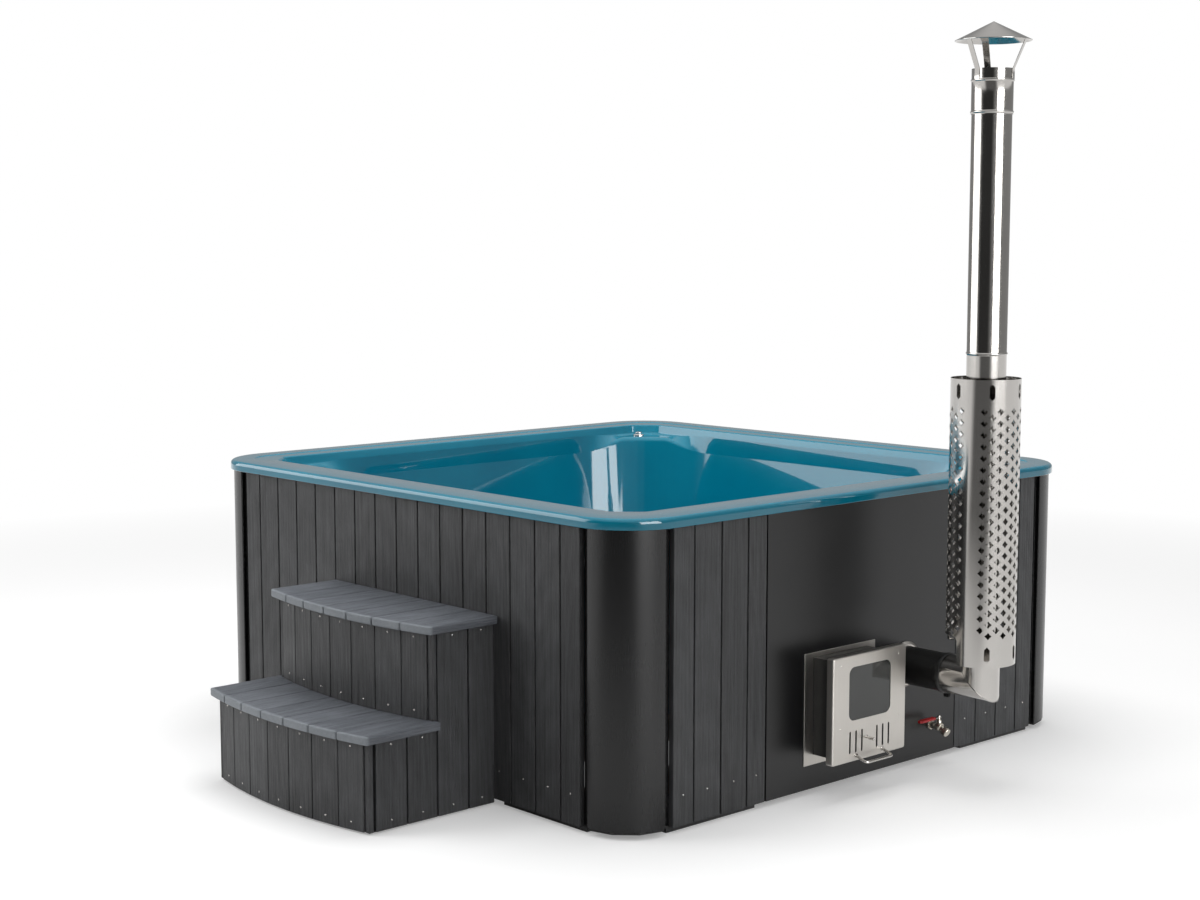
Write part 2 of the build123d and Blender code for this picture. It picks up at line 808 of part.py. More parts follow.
def mitre_wedge(upright_side):
    """Half space on one side of the elbow's 45 degree seam."""
    reach = chimney_x - flue_pipe_end_x + 2 * flue_radius
    low = (chimney_x - reach, flue_z + reach)
    high = (chimney_x + reach, flue_z - reach)
    apex = (chimney_x + reach, flue_z + reach) if upright_side else (chimney_x - reach, flue_z - reach)
    with BuildSketch(Plane.XZ) as sketch:
        with BuildLine():
            Polyline(low, high, apex, close=True)
        make_face()
    return Pos(0, flue_y + reach / 2, 0) * extrude(sketch.sketch, reach)


def beaded_pipe(radius, z0, z1, beads):
    """Upright flue length with rolled beads round it."""
    pipe = ring_z(radius, radius - flue_sheet, z0, z1, chimney_x, flue_y)
    for height in beads:
        pipe += ring_z(radius + bead_radius, radius - flue_sheet / 2, height - bead_radius,
                       height + bead_radius, chimney_x, flue_y)
    return pipe


def make_chimney():
    """Lower and upper pipe and the sleeve of the cap."""
    keep("lower_chimney_pipe", beaded_pipe(flue_radius, elbow_top_z, joint_z, []))
    keep("upper_chimney_pipe", beaded_pipe(flue_radius, joint_z, pipe_top_z, [joint_z + 2 * bead_radius]))
    sleeve_radius = flue_radius + flue_sheet
    keep("cap_sleeve", beaded_pipe(sleeve_radius, sleeve_low_z, sleeve_top_z, [sleeve_bead_z]))


def make_cap():
    """Rain cone on three flared straps."""
    slope = math.atan2(cone_high_z - cone_low_z, cone_radius)
    drop = cone_sheet / math.cos(slope)
    rise = (cone_high_z - cone_low_z) * (1 - cone_tip_radius / cone_radius)
    taper = 90 - math.degrees(slope)
    pyramid = extrude(many_sided(cone_radius), rise, taper=taper)
    cone = Pos(0, 0, cone_low_z) * pyramid - Pos(0, 0, cone_low_z - drop) * pyramid
    under = Pos(0, 0, cone_low_z - drop) * pyramid
    keep("rain_cone", Pos(chimney_x, flue_y, 0) * cone)
    foot = flue_radius + flue_sheet
    top_radius = foot + strap_spread
    top_z = cone_high_z - drop - (cone_high_z - cone_low_z) * top_radius / cone_radius
    low_z = sleeve_bead_z + bead_radius
    bend_z = sleeve_top_z
    inner = [(foot, low_z), (foot, bend_z), (top_radius - strap_sheet, top_z + strap_sheet * math.tan(slope))]
    outer = [(top_radius, top_z), (foot + strap_sheet, bend_z), (foot + strap_sheet, low_z)]
    with BuildSketch(Plane.XZ) as sketch:
        with BuildLine():
            Polyline(*(inner + outer), close=True)
        make_face()
    strap = extrude(sketch.sketch, strap_width / 2, both=True)
    bore = cylinder_z(foot, low_z - 1, bend_z, 0, 0)
    room = under + block(-cone_radius, cone_radius, -cone_radius, cone_radius, sleeve_low_z,
                         cone_low_z - drop)
    strap -= bore
    straps = []
    for count in range(3):
        turn = strap_angle + 120 * count
        straps.append(Pos(chimney_x, flue_y, 0) * ((Rot(0, 0, turn) * strap) & room))
    keep("cap_straps", *straps)


def guard_cutters():
    """Diamond holes in staggered columns and long slots near both ends."""
    cutters = []
    step = 360 / guard_facets
    stagger = (guard_last_row_z - guard_first_row_z) / (2 * guard_rows - 1)
    width = guard_hole_width / 2
    height = guard_hole_height / 2
    diamond = Polygon((-width, 0), (0, -height), (width, 0), (0, height), align=None)
    for column in range(guard_columns):
        angle = guard_first_angle + column * step
        start = guard_first_row_z + (0 if column % 2 else stagger)
        for row in range(guard_rows):
            cutters.append(wall_cutter(diamond, angle, start + 2 * row * stagger))
    width = guard_slot_width / 2
    height = guard_slot_height / 2
    hexagon = Polygon((-width, width - height), (0, -height), (width, width - height),
                      (width, height - width), (0, height), (-width, height - width), align=None)
    for count in range(guard_slot_count):
        angle = guard_slot_angle + count * 360 / guard_slot_count
        for height_z in (guard_low_z + guard_slot_inset, guard_high_z - guard_slot_inset):
            cutters.append(wall_cutter(hexagon, angle, height_z))
    return cutters


def wall_cutter(outline, angle, z):
    """An outline pushed outward through the guard's wall."""
    direction = Vector(math.cos(math.radians(angle)), math.sin(math.radians(angle)), 0)
    across = Vector(-direction.Y, direction.X, 0)
    start = direction * (guard_radius * 0.9) + Vector(0, 0, z)
    face = Plane(origin=start, x_dir=across, z_dir=direction) * outline
    return extrude(face, guard_radius * 0.2, dir=direction)


def make_guard():
    """Perforated heat guard, folded to many flats round the chimney."""
    turn = guard_first_angle + 180 / guard_facets
    outer = Rot(0, 0, turn) * RegularPolygon(guard_radius, guard_facets)
    inner = Rot(0, 0, turn) * RegularPolygon(guard_radius - guard_sheet, guard_facets)
    tube = prism(outer - inner, guard_low_z, guard_high_z)
    notch_reach = 2 * guard_radius
    notch = block(-notch_reach, guard_notch_x, -notch_reach, notch_reach, guard_low_z - 1, guard_notch_high_z)
    guard = tube.cut(*guard_cutters(), notch)
    keep("heat_guard", Pos(chimney_x, flue_y, 0) * guard)
    flat = (guard_radius - guard_sheet) * math.cos(math.pi / guard_facets)
    half = bracket_width / 2
    brackets = []
    for z in (guard_low_z + bracket_inset, guard_high_z - bracket_inset - bracket_height):
        top = z + bracket_height
        arm = block(flue_radius - flue_sheet, flat, -half, half, z, z + flue_sheet)
        arm += block(flue_radius - flue_sheet, flue_radius + flue_sheet, -half, half, z, top)
        arm += block(flat - flue_sheet, flat, -half, half, z, top)
        arm -= cylinder_z(flue_radius, z - 1, top + 1, 0, 0)
        for count in range(3):
            facet = round((count + 0.5) * guard_facets / 3)
            angle = guard_first_angle + facet * 360 / guard_facets
            brackets.append(Pos(chimney_x, flue_y, 0) * Rot(0, 0, angle) * arm)
    keep("guard_brackets", *brackets)


def make_drain():
    """Drain pipe under the footwell floor and its grille."""
    under = floor_z - shell_wall
    bore = drain_pipe_radius - drain_pipe_wall
    cup_radius = drain_pipe_radius + drain_cup_wall
    place = Pos(drain_x, drain_y, 0)
    pipe = place * prism(many_sided(cup_radius, pipe_sides), drain_z - cup_radius, under)
    pipe += facing_x(many_sided(drain_pipe_radius, pipe_sides), drain_x, clad_half, drain_y, drain_z)
    pipe -= facing_x(many_sided(bore, pipe_sides), drain_x, clad_half + 1, drain_y, drain_z)
    pipe -= place * prism(many_sided(bore, pipe_sides), drain_z, under + 1)
    keep("drain_pipe", pipe)
    grille = prism(many_sided(drain_grille_radius), floor_z, floor_z + drain_grille_height)
    reach = drain_pipe_radius - drain_pipe_wall
    for count in range(-drain_grille_slots // 2 + 1, drain_grille_slots // 2 + 1):
        y = count * 2 * drain_grille_slot
        length = math.sqrt(reach * reach - y * y)
        grille -= block(-length, length, y - drain_grille_slot / 2, y + drain_grille_slot / 2,
                        floor_z - 1, 2 * floor_z)
    keep("drain_grille", place * grille)


def make_valve():
    """Valve body, plug and stem, lever, grip, nut and outlet cap."""
    nut = RegularPolygon(valve_nut_radius, 6)
    face = Plane(origin=(clad_half, drain_y, drain_z), x_dir=(0, 1, 0), z_dir=(1, 0, 0)) * nut
    body = extrude(face, valve_nut_depth, dir=(1, 0, 0))
    body += cylinder_x(valve_radius, clad_half, valve_x, drain_y, drain_z)
    low = drain_z - valve_chamber_half
    high = drain_z + valve_chamber_half
    body += cylinder_z(valve_chamber_radius, low, high, valve_x, drain_y)
    body += cylinder_z(stem_neck_radius, drain_z, drain_z + stem_rise - stem_neck_gap, valve_x, drain_y)
    tilt = Pos(valve_x, drain_y, drain_z) * Rot(0, outlet_tilt, 0)
    body += tilt * cylinder_x(outlet_radius, 0, outlet_start + outlet_length, 0, 0)
    body -= cylinder_x(valve_bore_radius, clad_half - 1, valve_x, drain_y, drain_z)
    body -= tilt * cylinder_x(valve_bore_radius, 0, 2 * outlet_length + outlet_start, 0, 0)
    seat = plug_radius + plug_clearance
    body -= cylinder_z(seat, drain_z - seat, drain_z + seat, valve_x, drain_y)
    body -= cylinder_z(stem_radius + stem_running, drain_z, drain_z + 2 * stem_rise, valve_x, drain_y)
    keep("valve_body", body)
    plug = cylinder_z(plug_radius, drain_z - plug_radius, drain_z + plug_radius, valve_x, drain_y)
    plug += cylinder_z(stem_radius, drain_z, drain_z + stem_rise, valve_x, drain_y)
    plug -= Pos(valve_x, drain_y, drain_z) * Rot(90, 0, 0) * Cylinder(valve_bore_radius, 4 * plug_radius)
    keep("valve_plug", plug)
    top = drain_z + stem_rise
    half = lever_width / 2
    lever = block(valve_x - half, valve_x + half, drain_y - lever_length, drain_y, top, top + lever_thickness)
    lever += cylinder_z(half, top, top + lever_thickness, valve_x, drain_y)
    keep("valve_lever", lever)
    grip = block(valve_x - half - grip_thickness, valve_x + half + grip_thickness,
                 drain_y - lever_length - grip_thickness, drain_y - grip_start,
                 top - grip_thickness, top + lever_thickness + grip_thickness)
    grip -= block(valve_x - half, valve_x + half, drain_y - lever_length, drain_y, top, top + lever_thickness)
    keep("lever_grip", grip)
    nut = extrude(RegularPolygon(lever_nut_radius, 6), lever_nut_height)
    nut = Pos(valve_x, drain_y, top + lever_thickness) * nut
    keep("lever_nut", nut)
    start = outlet_start + cap_gap
    cap = facing_x(many_sided(cap_radius, pipe_sides), start, start + cap_length, 0, 0)
    inside = outlet_radius + cap_running
    cap -= cylinder_x(inside, start - 1, outlet_start + outlet_length + cap_running, 0, 0)
    keep("drain_cap", tilt * cap)


def make_air_button():
    """Press button and bezel on the back corner ledge."""
    top = ledge_z + bezel_height
    place = Pos(button_x, button_y, 0)
    bezel = prism(many_sided(bezel_radius), ledge_z, top)
    bezel = chamfer(bezel.edges().group_by(Axis.Z)[-1], bezel_height / 2)
    bezel -= prism(around(button_radius + button_running), ledge_z + 1, top + 1)
    keep("button_bezel", place * bezel)
    low = ledge_z + 1 + button_travel
    button = prism(many_sided(button_radius), low, top + button_rise)
    button = chamfer(button.edges().group_by(Axis.Z)[-1], button_rise / 3)
    keep("air_button", place * button)


def bow_radius(half):
    """Radius of the bowed step front from its half chord and bow."""
    return (half * half + step_bow * step_bow) / (2 * step_bow)


def step_plan(half, front_y, back_y, outset):
    """Plan of a tread with its bowed front."""
    middle = front_y - step_bow - outset
    end = front_y - outset
    with BuildSketch() as sketch:
        with BuildLine():
            ThreePointArc((-half, end), (0, middle), (half, end))
            Line((half, end), (half, back_y))
            Line((half, back_y), (-half, back_y))
            Line((-half, back_y), (-half, end))
        make_face()
    return sketch.sketch


def bowed_boards(front_y, z0, z1):
    """Upright boards that follow the bowed step front, without the trims."""
    half = steps_width / 2 - board_thickness
    radius = bow_radius(steps_width / 2)
    centre_y = front_y - step_bow + radius
    pitch = 2 * math.asin(board_cover / 2 / radius)
    limit = math.asin(half / radius)
    marks = [pitch * (count - (riser_joints - 1) / 2) for count in range(riser_joints)]
    marks = [-limit] + marks + [limit]
    boards = []
    for low, high in zip(marks[:-1], marks[1:]):
        angle = (low + high) / 2
        width = 2 * radius * math.sin((high - low) / 2) - riser_gap
        board = Box(width, board_thickness, z1 - z0)
        reach = radius * math.cos((high - low) / 2) - board_thickness / 2
        x = steps_x + reach * math.sin(angle)
        y = centre_y - reach * math.cos(angle)
        boards.append(Pos(x, y, (z0 + z1) / 2) * Rot(0, 0, math.degrees(angle)) * board)
    return boards


def tread_boards(front_y, back_y, top_z):
    """Tread cut into boards that run front to back."""
    half = steps_width / 2 + tread_overhang
    plan = step_plan(half, front_y, back_y, tread_overhang)
    tread = Pos(steps_x, 0, top_z - tread_thickness) * extrude(plan, tread_thickness)
    count = tread_board_count
    pitch = 2 * half / count
    pieces = []
    for number in range(count):
        x0 = steps_x - half + number * pitch + (tread_board_gap / 2 if number else 0)
        x1 = steps_x - half + (number + 1) * pitch - (tread_board_gap / 2 if number < count - 1 else 0)
        pieces.append(tread & block(x0, x1, front_y - 4 * step_bow, back_y + 1, 0, top_z + 1))
    return pieces


def make_steps():
    """Two bowed steps: frame, risers, side boards, trims and treads."""
    low_top = lower_tread_z - tread_thickness
    high_top = upper_tread_z - tread_thickness
    half = steps_width / 2
    wall_y = -clad_half
    keep("lower_riser_boards", *bowed_boards(lower_front_y, step_board_bottom_z, low_top))
    keep("upper_riser_boards", *bowed_boards(upper_front_y, lower_tread_z, high_top))
    keep("lower_tread", *tread_boards(lower_front_y, upper_front_y + trim_width, lower_tread_z))
    keep("upper_tread", *tread_boards(upper_front_y, wall_y, upper_tread_z))
    sides = []
    trims = []
    for side in (-1, 1):
        outer = steps_x + side * half
        inner = outer - side * board_thickness
        x0, x1 = min(outer, inner), max(outer, inner)
        trims.append(block(x0, x1, lower_front_y, lower_front_y + trim_width, step_board_bottom_z, low_top))
        trims.append(block(x0, x1, upper_front_y, upper_front_y + trim_width, lower_tread_z, high_top))
        marks = [wall_y] + [wall_y - depth for depth in side_board_depths]
        for high, low in zip(marks[:-1], marks[1:]):
            y0 = low + board_gap / 2
            y1 = high - (board_gap / 2 if high < wall_y else 0)
            tall = y0 > upper_front_y
            top = high_top if tall else low_top
            sides.append(block(x0, x1, y0, y1, step_board_bottom_z, top))
    keep("step_side_boards", *sides)
    keep("step_corner_trims", *trims)
    make_step_frame(low_top, high_top)


def make_step_frame(low_top, high_top):
    """Hidden rails and posts that tie the step boards together."""
    half = steps_width / 2 - board_thickness
    wall_y = -clad_half
    bars = []
    lower_back = upper_front_y + board_thickness + timber
    lower_start = lower_front_y + board_thickness
    for side in (-1, 1):
        outer = steps_x + side * half
        inner = outer - side * timber
        x0, x1 = min(outer, inner), max(outer, inner)
        bars.append(block(x0, x1, lower_start, wall_y, 0, step_rail_height))
        bars.append(block(x0, x1, lower_start, wall_y - timber, low_top - step_rail_height, low_top))
        bars.append(block(x0, x1, upper_front_y + board_thickness, wall_y - timber,
                          high_top - step_rail_height, high_top))
        bars.append(block(x0, x1, wall_y - timber, wall_y, step_rail_height, high_top))
        bars.append(block(x0, x1, lower_start, lower_start + timber, step_rail_height,
                          low_top - step_rail_height))
        bars.append(block(x0, x1, lower_back - timber, lower_back, low_top, high_top - step_rail_height))
    keep("step_frame", *bars)


def main():
    make_shell()
    make_base()
    make_frame()
    make_cladding()
    make_corner_covers()
    make_stove_panel()
    make_stove_body()
    make_grate()
    make_neck()
    make_door()
    make_door_fittings()
    make_flue()
    make_elbow()
    make_chimney()
    make_cap()
    make_guard()
    make_drain()
    make_valve()
    make_air_button()
    make_steps()
    os.makedirs("parts", exist_ok=True)
    for name, group in parts.items():
        export_step(group, "parts/" + name + ".step")


main()
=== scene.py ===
import json
import math
import random

import bmesh
import bpy
import numpy as np
from mathutils import Matrix, Vector

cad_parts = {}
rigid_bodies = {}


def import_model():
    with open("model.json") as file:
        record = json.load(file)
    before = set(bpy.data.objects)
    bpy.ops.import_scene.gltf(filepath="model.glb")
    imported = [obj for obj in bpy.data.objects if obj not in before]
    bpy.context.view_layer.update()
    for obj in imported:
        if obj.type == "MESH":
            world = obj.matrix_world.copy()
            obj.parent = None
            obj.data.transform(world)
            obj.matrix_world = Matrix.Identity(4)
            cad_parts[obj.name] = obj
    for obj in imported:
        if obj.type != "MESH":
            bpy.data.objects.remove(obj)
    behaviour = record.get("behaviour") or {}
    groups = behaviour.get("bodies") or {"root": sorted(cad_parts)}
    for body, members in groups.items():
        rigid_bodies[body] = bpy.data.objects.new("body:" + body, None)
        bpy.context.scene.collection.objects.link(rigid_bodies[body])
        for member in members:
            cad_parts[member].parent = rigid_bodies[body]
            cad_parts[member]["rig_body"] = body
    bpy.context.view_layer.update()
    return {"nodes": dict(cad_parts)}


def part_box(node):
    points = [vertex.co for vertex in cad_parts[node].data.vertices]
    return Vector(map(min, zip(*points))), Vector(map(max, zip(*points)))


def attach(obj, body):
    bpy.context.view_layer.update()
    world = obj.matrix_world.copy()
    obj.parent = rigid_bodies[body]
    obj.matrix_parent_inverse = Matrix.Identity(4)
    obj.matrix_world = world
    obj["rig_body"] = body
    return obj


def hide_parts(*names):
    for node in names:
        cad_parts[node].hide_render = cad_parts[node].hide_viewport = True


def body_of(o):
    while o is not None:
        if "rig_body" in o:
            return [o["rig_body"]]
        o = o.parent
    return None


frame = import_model()
nodes = frame["nodes"]
pick = random.Random(11)

# Sizes in metres, angles in degrees. The origin is on the floor under the middle of the tub.
weld_reach = 0.00001
round_sides = 96

# Fibreglass shell
shell_wall = 0.008
rim_corner = 0.215
rim_flat_z = 0.990
rim_edge_radius = 0.016
rim_lip = 0.020
bead_half = 1.072
bead_corner = 0.140
bead_slope = 0.006
mouth_half = 1.000
mouth_draft = 0.012
mouth_chamfer = 0.080
mouth_fillet = 0.030
ledge_z = 0.950
ledge_rise = 0.012
ledge_blend = 0.060
ledge_width = 0.10
well_half = 0.982
well_corner = 0.440
well_draft = 0.050
bench_z = 0.560
footwell_radius = 0.600
footwell_draft = 0.015
floor_z = 0.150
floor_hub = 0.02
pipe_half = 0.025
pipe_bore = 0.022
drain_bore = 0.014

# Corner covers
cover_radius = 0.168
cover_sheet = 0.003
cover_depth = 0.021
cover_groove = 0.033
cover_fold = 0.003

# Boards, treads and screws
board_edge = 0.0018
tread_boards = 7
tread_bow = 0.050
tread_gap = 0.004
tread_edge = 0.0045
screw_radius = 0.0032
wall_screw_z = 0.115
side_screw_insets = (0.016, 0.028)
riser_screw_insets = (0.018, 0.026)

# Stove door
door_corner = 0.008
door_fold = 0.0045
door_sheet = 0.002
door_face_inset = 0.005
window_half_width = 0.1055
window_half_height = 0.089
window_middle_z = 0.352
window_corner = 0.025
pane_corner = 0.018
slot_half_width = 0.004
slot_low_z = 0.154
slot_high_z = 0.228
slot_pitch = 0.030
slot_group = 0.068
peg_slot_half_width = 0.011
peg_slot_half_height = 0.0033
peg_slot_shift = 0.0075
rivet_heights = (0.244, 0.452)
rivet_reach = 0.146
handle_radius = 0.0045
handle_bend = 0.011
handle_washer = 0.0085
washer_bore = 0.005
peg_radius = 0.003
knob_radius = 0.0052
knob_length = 0.024

# Flue
flue_sheet = 0.002
flue_fit = 0.0004
roll_swell = 0.0028
roll_step = 0.0014
upper_bead_rise = 0.006
sleeve_bead_rise = 0.008
sleeve_bead_z = 2.331
collar_flange = 0.004
clamp_ear_half = 0.011
clamp_ear_drop = 0.009
clamp_ear_sheet = 0.002
weld_lift = 0.0002
weld_radius = 0.0011
cone_sheet = 0.0015

# Drain valve
valve_z = 0.128
valve_bore = 0.0085
hex_radius = 0.018
hex_length = 0.009
outlet_tilt = 25
lever_half_width = 0.0075
lever_nose = 0.0125
grip_thickness = 0.0028
cap_ribs = 72
cap_rib_radius = 0.0155
cap_groove_radius = 0.0148

# Drain strainer and air button
strainer_radius = 0.028
strainer_slot_pitch = 0.006
bezel_bore = 0.0155
bezel_radius = 0.026
button_radius = 0.0150

# Heat guard
guard_columns = 27
guard_open_columns = 25
guard_rows = 20
guard_first_angle = -55.0
guard_seam_turn = 20.0
guard_row_pitch = 0.0377
guard_first_row = 0.534
guard_hole_half = 0.0122
guard_hole_waist = 0.0078
guard_slot_half_width = 0.0095
guard_slot_half_height = 0.0265
guard_slot_angle = -43.0
guard_slot_step = 60
guard_slot_low = 0.471
guard_slot_high = 1.332
guard_notch_turn = 84.5
guard_notch_top = 0.522
guard_notch_cut_turn = 4
guard_notch_cut_rise = 0.012
guard_sheet = 0.0015
guard_strips = 108

# Photograph's camera
camera_place = (5.3082, -5.0681, 1.8490)
camera_yaw = 0.8281
camera_pitch = 0.1113
camera_lens = 58.75


def colour(red, green, blue):
    """Linear colour of a finish from the levels a screen shows."""
    def linear(level):
        level /= 255
        return level / 12.92 if level < 0.04045 else ((level + 0.055) / 1.055) ** 2.4
    return (linear(red), linear(green), linear(blue), 1.0)


class Graph:
    """Short ways to add and join nodes in a material or a group."""

    def __init__(self, tree):
        self.tree = tree

    def add(self, kind, inputs=None, **settings):
        made = self.tree.nodes.new(kind)
        for key, value in settings.items():
            setattr(made, key, value)
        for key, value in (inputs or {}).items():
            if isinstance(value, bpy.types.NodeSocket):
                self.tree.links.new(value, made.inputs[key])
            else:
                made.inputs[key].default_value = value
        return made

    def math(self, operation, first, second=0.0, third=0.0):
        inputs = {0: first, 1: second, 2: third}
        return self.add("ShaderNodeMath", inputs, operation=operation).outputs[0]

    def vector(self, operation, first, second):
        return self.add("ShaderNodeVectorMath", {0: first, 1: second}, operation=operation).outputs[0]

    def mix(self, share, first, second):
        made = self.add("ShaderNodeMix", {0: share, 6: first, 7: second}, data_type="RGBA")
        return made.outputs[2]

    def remap(self, value, low, high, to_low, to_high):
        inputs = {0: value, 1: low, 2: high, 3: to_low, 4: to_high}
        return self.add("ShaderNodeMapRange", inputs).outputs[0]

    def noise(self, vector, scale, detail=3.0, rough=0.55):
        inputs = {"Vector": vector, "Scale": scale, "Detail": detail, "Roughness": rough}
        return self.add("ShaderNodeTexNoise", inputs).outputs[0]

    def group(self, name, **inputs):
        made = self.tree.nodes.new("ShaderNodeGroup")
        made.node_tree = bpy.data.node_groups[name]
        for key, value in inputs.items():
            socket = made.inputs[key.replace("_", " ")]
            if isinstance(value, bpy.types.NodeSocket):
                self.tree.links.new(value, socket)
            else:
                socket.default_value = value
        return made.outputs


def new_group(name, inputs, outputs):
    """An empty shared effect with named inputs and outputs."""
    kinds = {"value": "NodeSocketFloat", "vector": "NodeSocketVector"}
    tree = bpy.data.node_groups.new(name, "ShaderNodeTree")
    for label, kind, default in inputs:
        socket = tree.interface.new_socket(name=label, in_out="INPUT", socket_type=kinds[kind])
        if kind == "value":
            socket.default_value = default
    for label, kind in outputs:
        tree.interface.new_socket(name=label, in_out="OUTPUT", socket_type=kinds[kind])
    graph = Graph(tree)
    source = graph.add("NodeGroupInput").outputs
    sink = graph.add("NodeGroupOutput").inputs
    return graph, source, sink


def group_wood_figure():
    """Drawn streaks over faint growth rings, with pores, all along Z."""
    graph, source, sink = new_group(
        "wood figure",
        [("Place", "vector", None), ("Board", "value", 0.5), ("Ring Scale", "value", 60.0),
         ("Waver", "value", 3.0)],
        [("Figure", "value"), ("Pores", "value")])
    board = source["Board"]
    sideways = graph.math("FRACT", graph.math("MULTIPLY", board, 7.31))
    behind = graph.math("FRACT", graph.math("MULTIPLY", board, 3.77))
    pith_x = graph.math("MULTIPLY", graph.math("SUBTRACT", sideways, 0.5), 0.16)
    pith_y = graph.math("MULTIPLY_ADD", behind, 0.09, 0.012)
    shift = graph.add("ShaderNodeCombineXYZ", {0: pith_x, 1: pith_y, 2: graph.math("MULTIPLY", board, 9.0)})
    place = graph.vector("ADD", source["Place"], shift.outputs[0])
    lengthways = graph.vector("MULTIPLY", place, (1.0, 1.0, 0.085))
    waver = graph.noise(lengthways, 9.0, 3.0)
    rings = graph.add("ShaderNodeTexWave", {"Vector": lengthways, "Scale": source["Ring Scale"],
                                            "Distortion": source["Waver"], "Detail": 2.0,
                                            "Detail Scale": 0.5, "Detail Roughness": 0.5},
                      wave_type="RINGS", rings_direction="SPHERICAL", wave_profile="SIN")
    soft = graph.math("POWER", rings.outputs["Fac"], 1.3)
    streaks = graph.noise(graph.vector("MULTIPLY", place, (1.0, 1.0, 0.02)), 130.0, 3.0, 0.65)
    drawn = graph.remap(streaks, 0.3, 0.7, 0.0, 1.0)
    figure = graph.math("ADD", graph.math("MULTIPLY", soft, 0.16), graph.math("MULTIPLY", waver, 0.12))
    figure = graph.math("ADD", figure, graph.math("MULTIPLY", drawn, 0.72))
    graph.tree.links.new(figure, sink["Figure"])
    pores = graph.noise(graph.vector("MULTIPLY", place, (1.0, 1.0, 0.03)), 620.0, 2.0, 0.7)
    graph.tree.links.new(graph.remap(pores, 0.42, 0.62, 0.0, 1.0), sink["Pores"])


def group_smudge():
    """Slow uneven patches and fine specks, for dust, handling and uneven gloss."""
    graph, source, sink = new_group("smudge", [("Place", "vector", None), ("Size", "value", 3.0)],
                                    [("Patches", "value"), ("Specks", "value")])
    patches = graph.noise(source["Place"], source["Size"], 4.0, 0.6)
    graph.tree.links.new(graph.remap(patches, 0.3, 0.7, 0.0, 1.0), sink["Patches"])
    specks = graph.noise(source["Place"], graph.math("MULTIPLY", source["Size"], 90.0), 2.0, 0.7)
    graph.tree.links.new(graph.remap(specks, 0.55, 0.75, 0.0, 1.0), sink["Specks"])


def group_brushing():
    """Fine parallel scratches of brushed or drawn sheet."""
    graph, source, sink = new_group("brushing", [("Place", "vector", None), ("Fineness", "value", 400.0)],
                                    [("Scratches", "value")])
    scratches = graph.noise(source["Place"], source["Fineness"], 3.0, 0.75)
    graph.tree.links.new(scratches, sink["Scratches"])


def new_material(name, **shader_values):
    """A Principled material, its graph, its shader node and object coordinates."""
    material = bpy.data.materials.new(name)
    material.use_nodes = True
    graph = Graph(material.node_tree)
    shader = material.node_tree.nodes["Principled BSDF"]
    for key, value in shader_values.items():
        shader.inputs[key.replace("_", " ")].default_value = value
    place = graph.add("ShaderNodeTexCoord").outputs["Object"]
    return material, graph, shader, place


def feed(graph, value, shader, socket):
    """Join a value to a named socket of the shader."""
    graph.tree.links.new(value, shader.inputs[socket])


def bump(graph, shader, height, strength, distance):
    """Relief that changes the shading normal."""
    made = graph.add("ShaderNodeBump", {"Height": height, "Strength": strength, "Distance": distance})
    feed(graph, made.outputs[0], shader, "Normal")


def wood(name, dark, light, turned, rough, relief, ring_scale=24.0):
    """Stained boards, with a painted highlight along the front edges of treads. Turned boards lie flat, with
    their grain along Y.
    """
    material, graph, shader, place = new_material(name)
    centre = graph.add("ShaderNodeAttribute", attribute_name="board_centre").outputs["Vector"]
    board = graph.add("ShaderNodeAttribute", attribute_name="board_number").outputs["Fac"]
    local = graph.vector("SUBTRACT", place, centre)
    if turned:
        split = graph.add("ShaderNodeSeparateXYZ", {0: local}).outputs
        local = graph.add("ShaderNodeCombineXYZ", {0: split[0], 1: split[2], 2: split[1]}).outputs[0]
    figure = graph.group("wood figure", Place=local, Board=board, Ring_Scale=ring_scale, Waver=3.0)
    smudge = graph.group("smudge", Place=place, Size=4.0)
    tone = graph.math("ADD", graph.math("MULTIPLY", figure["Figure"], 0.75),
                      graph.math("MULTIPLY", smudge["Patches"], 0.25))
    tint = graph.remap(board, 0.0, 1.0, -0.12, 0.14)
    base = graph.mix(graph.math("ADD", tone, tint), dark, light)
    deep = graph.mix(graph.math("MULTIPLY", figure["Pores"], 0.35), base, (0.006, 0.006, 0.006, 1.0))
    # Painted highlight: the front band of each tread board is mixed towards pale grey, for the light its
    # rounded front edge catches.
    front = graph.add("ShaderNodeAttribute", attribute_name="front_edge").outputs["Fac"]
    painted_edge_highlight = graph.remap(front, 0.955, 0.99, 0.0, 0.55)
    feed(graph, graph.mix(painted_edge_highlight, deep, colour(146, 152, 157)), shader, "Base Color")
    feed(graph, graph.remap(tone, 0.0, 1.0, rough + 0.10, rough - 0.08), shader, "Roughness")
    height = graph.math("SUBTRACT", figure["Figure"], graph.math("MULTIPLY", figure["Pores"], 0.6))
    bump(graph, shader, height, relief, 0.0012)
    return material


def sheet_metal(name, tone, metallic, rough, spread, stretch, relief=0.05, **more):
    """Painted or bare sheet with drawn streaks, patches and specks."""
    material, graph, shader, place = new_material(name, Metallic=metallic, **more)
    scaled = graph.vector("MULTIPLY", place, stretch)
    streaks = graph.group("brushing", Place=scaled, Fineness=300.0)["Scratches"]
    smudge = graph.group("smudge", Place=place, Size=5.0)
    uneven = graph.math("ADD", graph.math("MULTIPLY", streaks, 0.6),
                        graph.math("MULTIPLY", smudge["Patches"], 0.4))
    darker = tuple(level * 0.82 for level in tone[:3]) + (1.0,)
    feed(graph, graph.mix(uneven, darker, tone), shader, "Base Color")
    feed(graph, graph.remap(uneven, 0.0, 1.0, rough - spread, rough + spread), shader, "Roughness")
    bump(graph, shader, uneven, relief, 0.0003)
    return material


